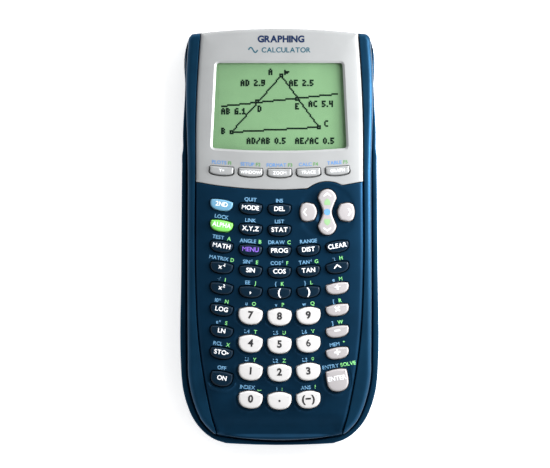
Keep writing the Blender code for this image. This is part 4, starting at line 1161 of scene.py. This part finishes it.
# Each letter's rows of dots, from the top down.
GLYPHS = {
    "A": "010 101 111 101 101", "B": "110 101 110 101 110", "C": "011 100 100 100 011",
    "D": "110 101 101 101 110", "E": "111 100 110 100 111", "/": "001 001 010 100 100",
    ".": "0 0 0 0 1", " ": "00 00 00 00 00", "0": "010 101 101 101 010", "1": "010 110 010 010 111",
    "2": "110 001 010 100 111", "3": "111 001 011 001 111", "4": "101 101 111 001 001",
    "5": "111 100 110 001 110", "6": "011 100 111 101 111", "7": "111 001 010 010 010",
    "8": "111 101 111 101 111", "9": "111 101 111 001 110",
}


def make_display():
    """The lit dots of a drawing: a triangle, a line across it, their points and their measures."""
    x0, x1, y0, y1 = ACTIVE
    pitch = np.array([(x1 - x0) / DOTS_ACROSS, (y1 - y0) / DOTS_UP])
    lit = np.zeros((DOTS_UP, DOTS_ACROSS), bool)

    def dot_at(x, y):
        return int((x - x0) / pitch[0]), int((y - y0) / pitch[1])

    def line(start, end):
        (ax, ay), (bx, by) = dot_at(*start), dot_at(*end)
        steps = max(abs(bx - ax), abs(by - ay)) + 1
        rows, columns = (
            np.linspace(*ends, steps).round().astype(int) for ends in ((ay, by), (ax, bx))
        )
        lit[rows, columns] = True

    def write(text, x, y):
        column, row = dot_at(x, y)
        for letter in text:
            rows = GLYPHS[letter].split()
            for down, bits in enumerate(rows):
                for across, bit in enumerate(bits):
                    if bit == "1" and 0 <= column + across < DOTS_ACROSS:
                        lit[row + 2 - down, column + across] = True
            column += len(rows[0]) + 1

    def marker(x, y):
        column, row = dot_at(x, y)
        lit[row - 1 : row + 2, column - 1 : column + 2] = True
        lit[row, column] = False

    a, b, c = (0.7, 73.6), (-22.0, 47.5), (18.2, 50.2)
    d, e = (-10.3, 61.6), (8.0, 63.0)
    for start, end in ((a, b), (a, c), (b, c), ((-26.3, 59.3), (26.2, 65.2))):
        line(start, end)
    for point in (a, b, c, d, e):
        marker(*point)
    for text, x, y in (
        ("A", -4.6, 75.4), ("AD 2.9", -17.5, 70.2), ("AE 2.5", 4.6, 70.2), ("AB 6.1", -26.2, 57.0),
        ("AC 5.4", 13.8, 60.8), ("D", -9.6, 58.4), ("E", 7.2, 59.6), ("B", -26.2, 48.2),
        ("C", 20.6, 51.4), ("AD/AB 0.5", -14.6, 43.8), ("AE/AC 0.5", 7.4, 43.8),
    ):
        write(text, x, y)
    column, row = dot_at(2.4, 74.6)
    lit[row - 1 : row + 3, column] = True
    lit[row + 1, column : column + 4] = True
    lit[row, column + 1 : column + 3] = True
    rows, columns = np.nonzero(lit)
    middles = np.stack([x0 + (columns + 0.5) * pitch[0], y0 + (rows + 0.5) * pitch[1]], 1)
    square = np.array([(-1, -1), (1, -1), (1, 1), (-1, 1)]) * pitch * DOT_HALF
    spots = (middles[:, None] + square[None]).reshape(-1, 2)
    first = 4 * np.arange(len(middles))[:, None]
    faces = np.concatenate([first + (0, 1, 2), first + (0, 2, 3)])
    top = np.full(len(spots), lcd_top + 0.05)
    make_piece("display_dots", *between(spots, faces, top, top - 0.06), DOT)
    outer, inner = (
        rectangle(x0 - BORDER_AWAY_X + inward, x1 + BORDER_AWAY_X - inward,
                  y0 - BORDER_AWAY_Y + inward, y1 + BORDER_AWAY_Y - inward, 0.05)
        for inward in (0.0, BORDER_WIDTH)
    )
    plate("display_border", FAINT_DOT, [outer, inner], lcd_top + 0.04, lcd_top - 0.01, spacing=3.0,
          rings=(0.1,))


make_display()


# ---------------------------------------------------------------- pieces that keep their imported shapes


def make_kept_pieces():
    """The display's layers and the inner pieces, each in its own finish."""
    for node, material in (
        ("lcd_module", LCD), ("display_window", GLASS), ("key_mat", SILICONE), ("circuit_board", BOARD),
        ("battery_cells", JACKET), ("backup_cell_cover", NICKEL),
    ):
        data = frame["nodes"][node].data
        data.materials.clear()
        data.materials.append(material[1])


make_kept_pieces()


# ---------------------------------------------------------------- camera, light and floor


VIEW_MIDDLE, VIEW_WIDTH, VIEW_DISTANCE = (-2.05, 1.3), 250.1, 1500.0
FLOOR_REACH = 3.0  # in metres, as are the lamps' places and sizes
LAMPS = (
    ("key_light", (0.34, 0.2, 0.42), 0.22, 2.6),
    ("side_light", (0.175, 0.05, 0.085), 0.08, 0.7),
)
BRIGHT_SIDE = (0.85, 0.5, 0)
# For the sky overhead and sideways: the lowest and highest input, and the strength at each.
OVERHEAD, SIDEWAYS = (0.55, 0.85, 1.0, 0.06), (-0.8, 0.9, 0.9, 2.8)


def make_stage():
    """A white floor, the camera that looks straight down, two lamps and a sky.

    The sky's strength is the product of two ramps: it darkens overhead, and brightens towards one side.
    """
    scene = bpy.context.scene
    camera_data = bpy.data.cameras.new("camera")
    camera_data.sensor_width = 36.0
    camera_data.lens = camera_data.sensor_width * VIEW_DISTANCE / VIEW_WIDTH
    camera = bpy.data.objects.new("camera", camera_data)
    camera.location = (VIEW_MIDDLE[0] * MM, VIEW_MIDDLE[1] * MM, (cap_top + VIEW_DISTANCE) * MM)
    scene.collection.objects.link(camera)
    scene.camera = camera

    floor_mesh = bpy.data.meshes.new("floor")
    corners = [(x * FLOOR_REACH, y * FLOOR_REACH, 0) for x, y in ((-1, -1), (1, -1), (1, 1), (-1, 1))]
    floor_mesh.from_pydata(corners, [], [(0, 1, 2, 3)])
    paper = finish("floor", "white_floor", (0.93, 0.93, 0.93), 0.9, grain=0.5, shade=0.01)[1]
    shader = paper.node_tree.nodes["Principled BSDF"]
    shader.inputs["Emission Color"].default_value = (1, 1, 1, 1)
    shader.inputs["Emission Strength"].default_value = 0.5
    floor_mesh.materials.append(paper)
    floor = bpy.data.objects.new("floor", floor_mesh)
    scene.collection.objects.link(floor)

    for name, place, size, power in LAMPS:
        lamp_data = bpy.data.lights.new(name, "AREA")
        lamp_data.size = size
        lamp_data.energy = power
        lamp = bpy.data.objects.new(name, lamp_data)
        lamp.location = place
        lamp.rotation_mode = "QUATERNION"
        lamp.rotation_quaternion = (-Vector(place)).to_track_quat("-Z", "Y")
        scene.collection.objects.link(lamp)

    world = bpy.data.worlds.new("studio")
    world.use_nodes = True
    nodes, links = world.node_tree.nodes, world.node_tree.links
    sky = nodes["Background"]
    direction = nodes.new("ShaderNodeTexCoord")
    parts = nodes.new("ShaderNodeSeparateXYZ")
    across = nodes.new("ShaderNodeVectorMath")
    across.operation = "DOT_PRODUCT"
    across.inputs[1].default_value = BRIGHT_SIDE
    overhead, sideways = nodes.new("ShaderNodeMapRange"), nodes.new("ShaderNodeMapRange")
    for part, (lowest, highest, start, end) in ((overhead, OVERHEAD), (sideways, SIDEWAYS)):
        part.inputs["From Min"].default_value, part.inputs["From Max"].default_value = lowest, highest
        part.inputs["To Min"].default_value, part.inputs["To Max"].default_value = start, end
    both = nodes.new("ShaderNodeMath")
    both.operation = "MULTIPLY"
    links.new(direction.outputs["Generated"], parts.inputs["Vector"])
    links.new(parts.outputs["Z"], overhead.inputs["Value"])
    links.new(direction.outputs["Generated"], across.inputs[0])
    links.new(across.outputs["Value"], sideways.inputs["Value"])
    links.new(overhead.outputs["Result"], both.inputs[0])
    links.new(sideways.outputs["Result"], both.inputs[1])
    links.new(both.outputs["Value"], sky.inputs["Strength"])
    sky.inputs["Color"].default_value = (1, 1, 1, 1)
    scene.world = world
    scene.view_settings.view_transform = "Standard"


make_stage()
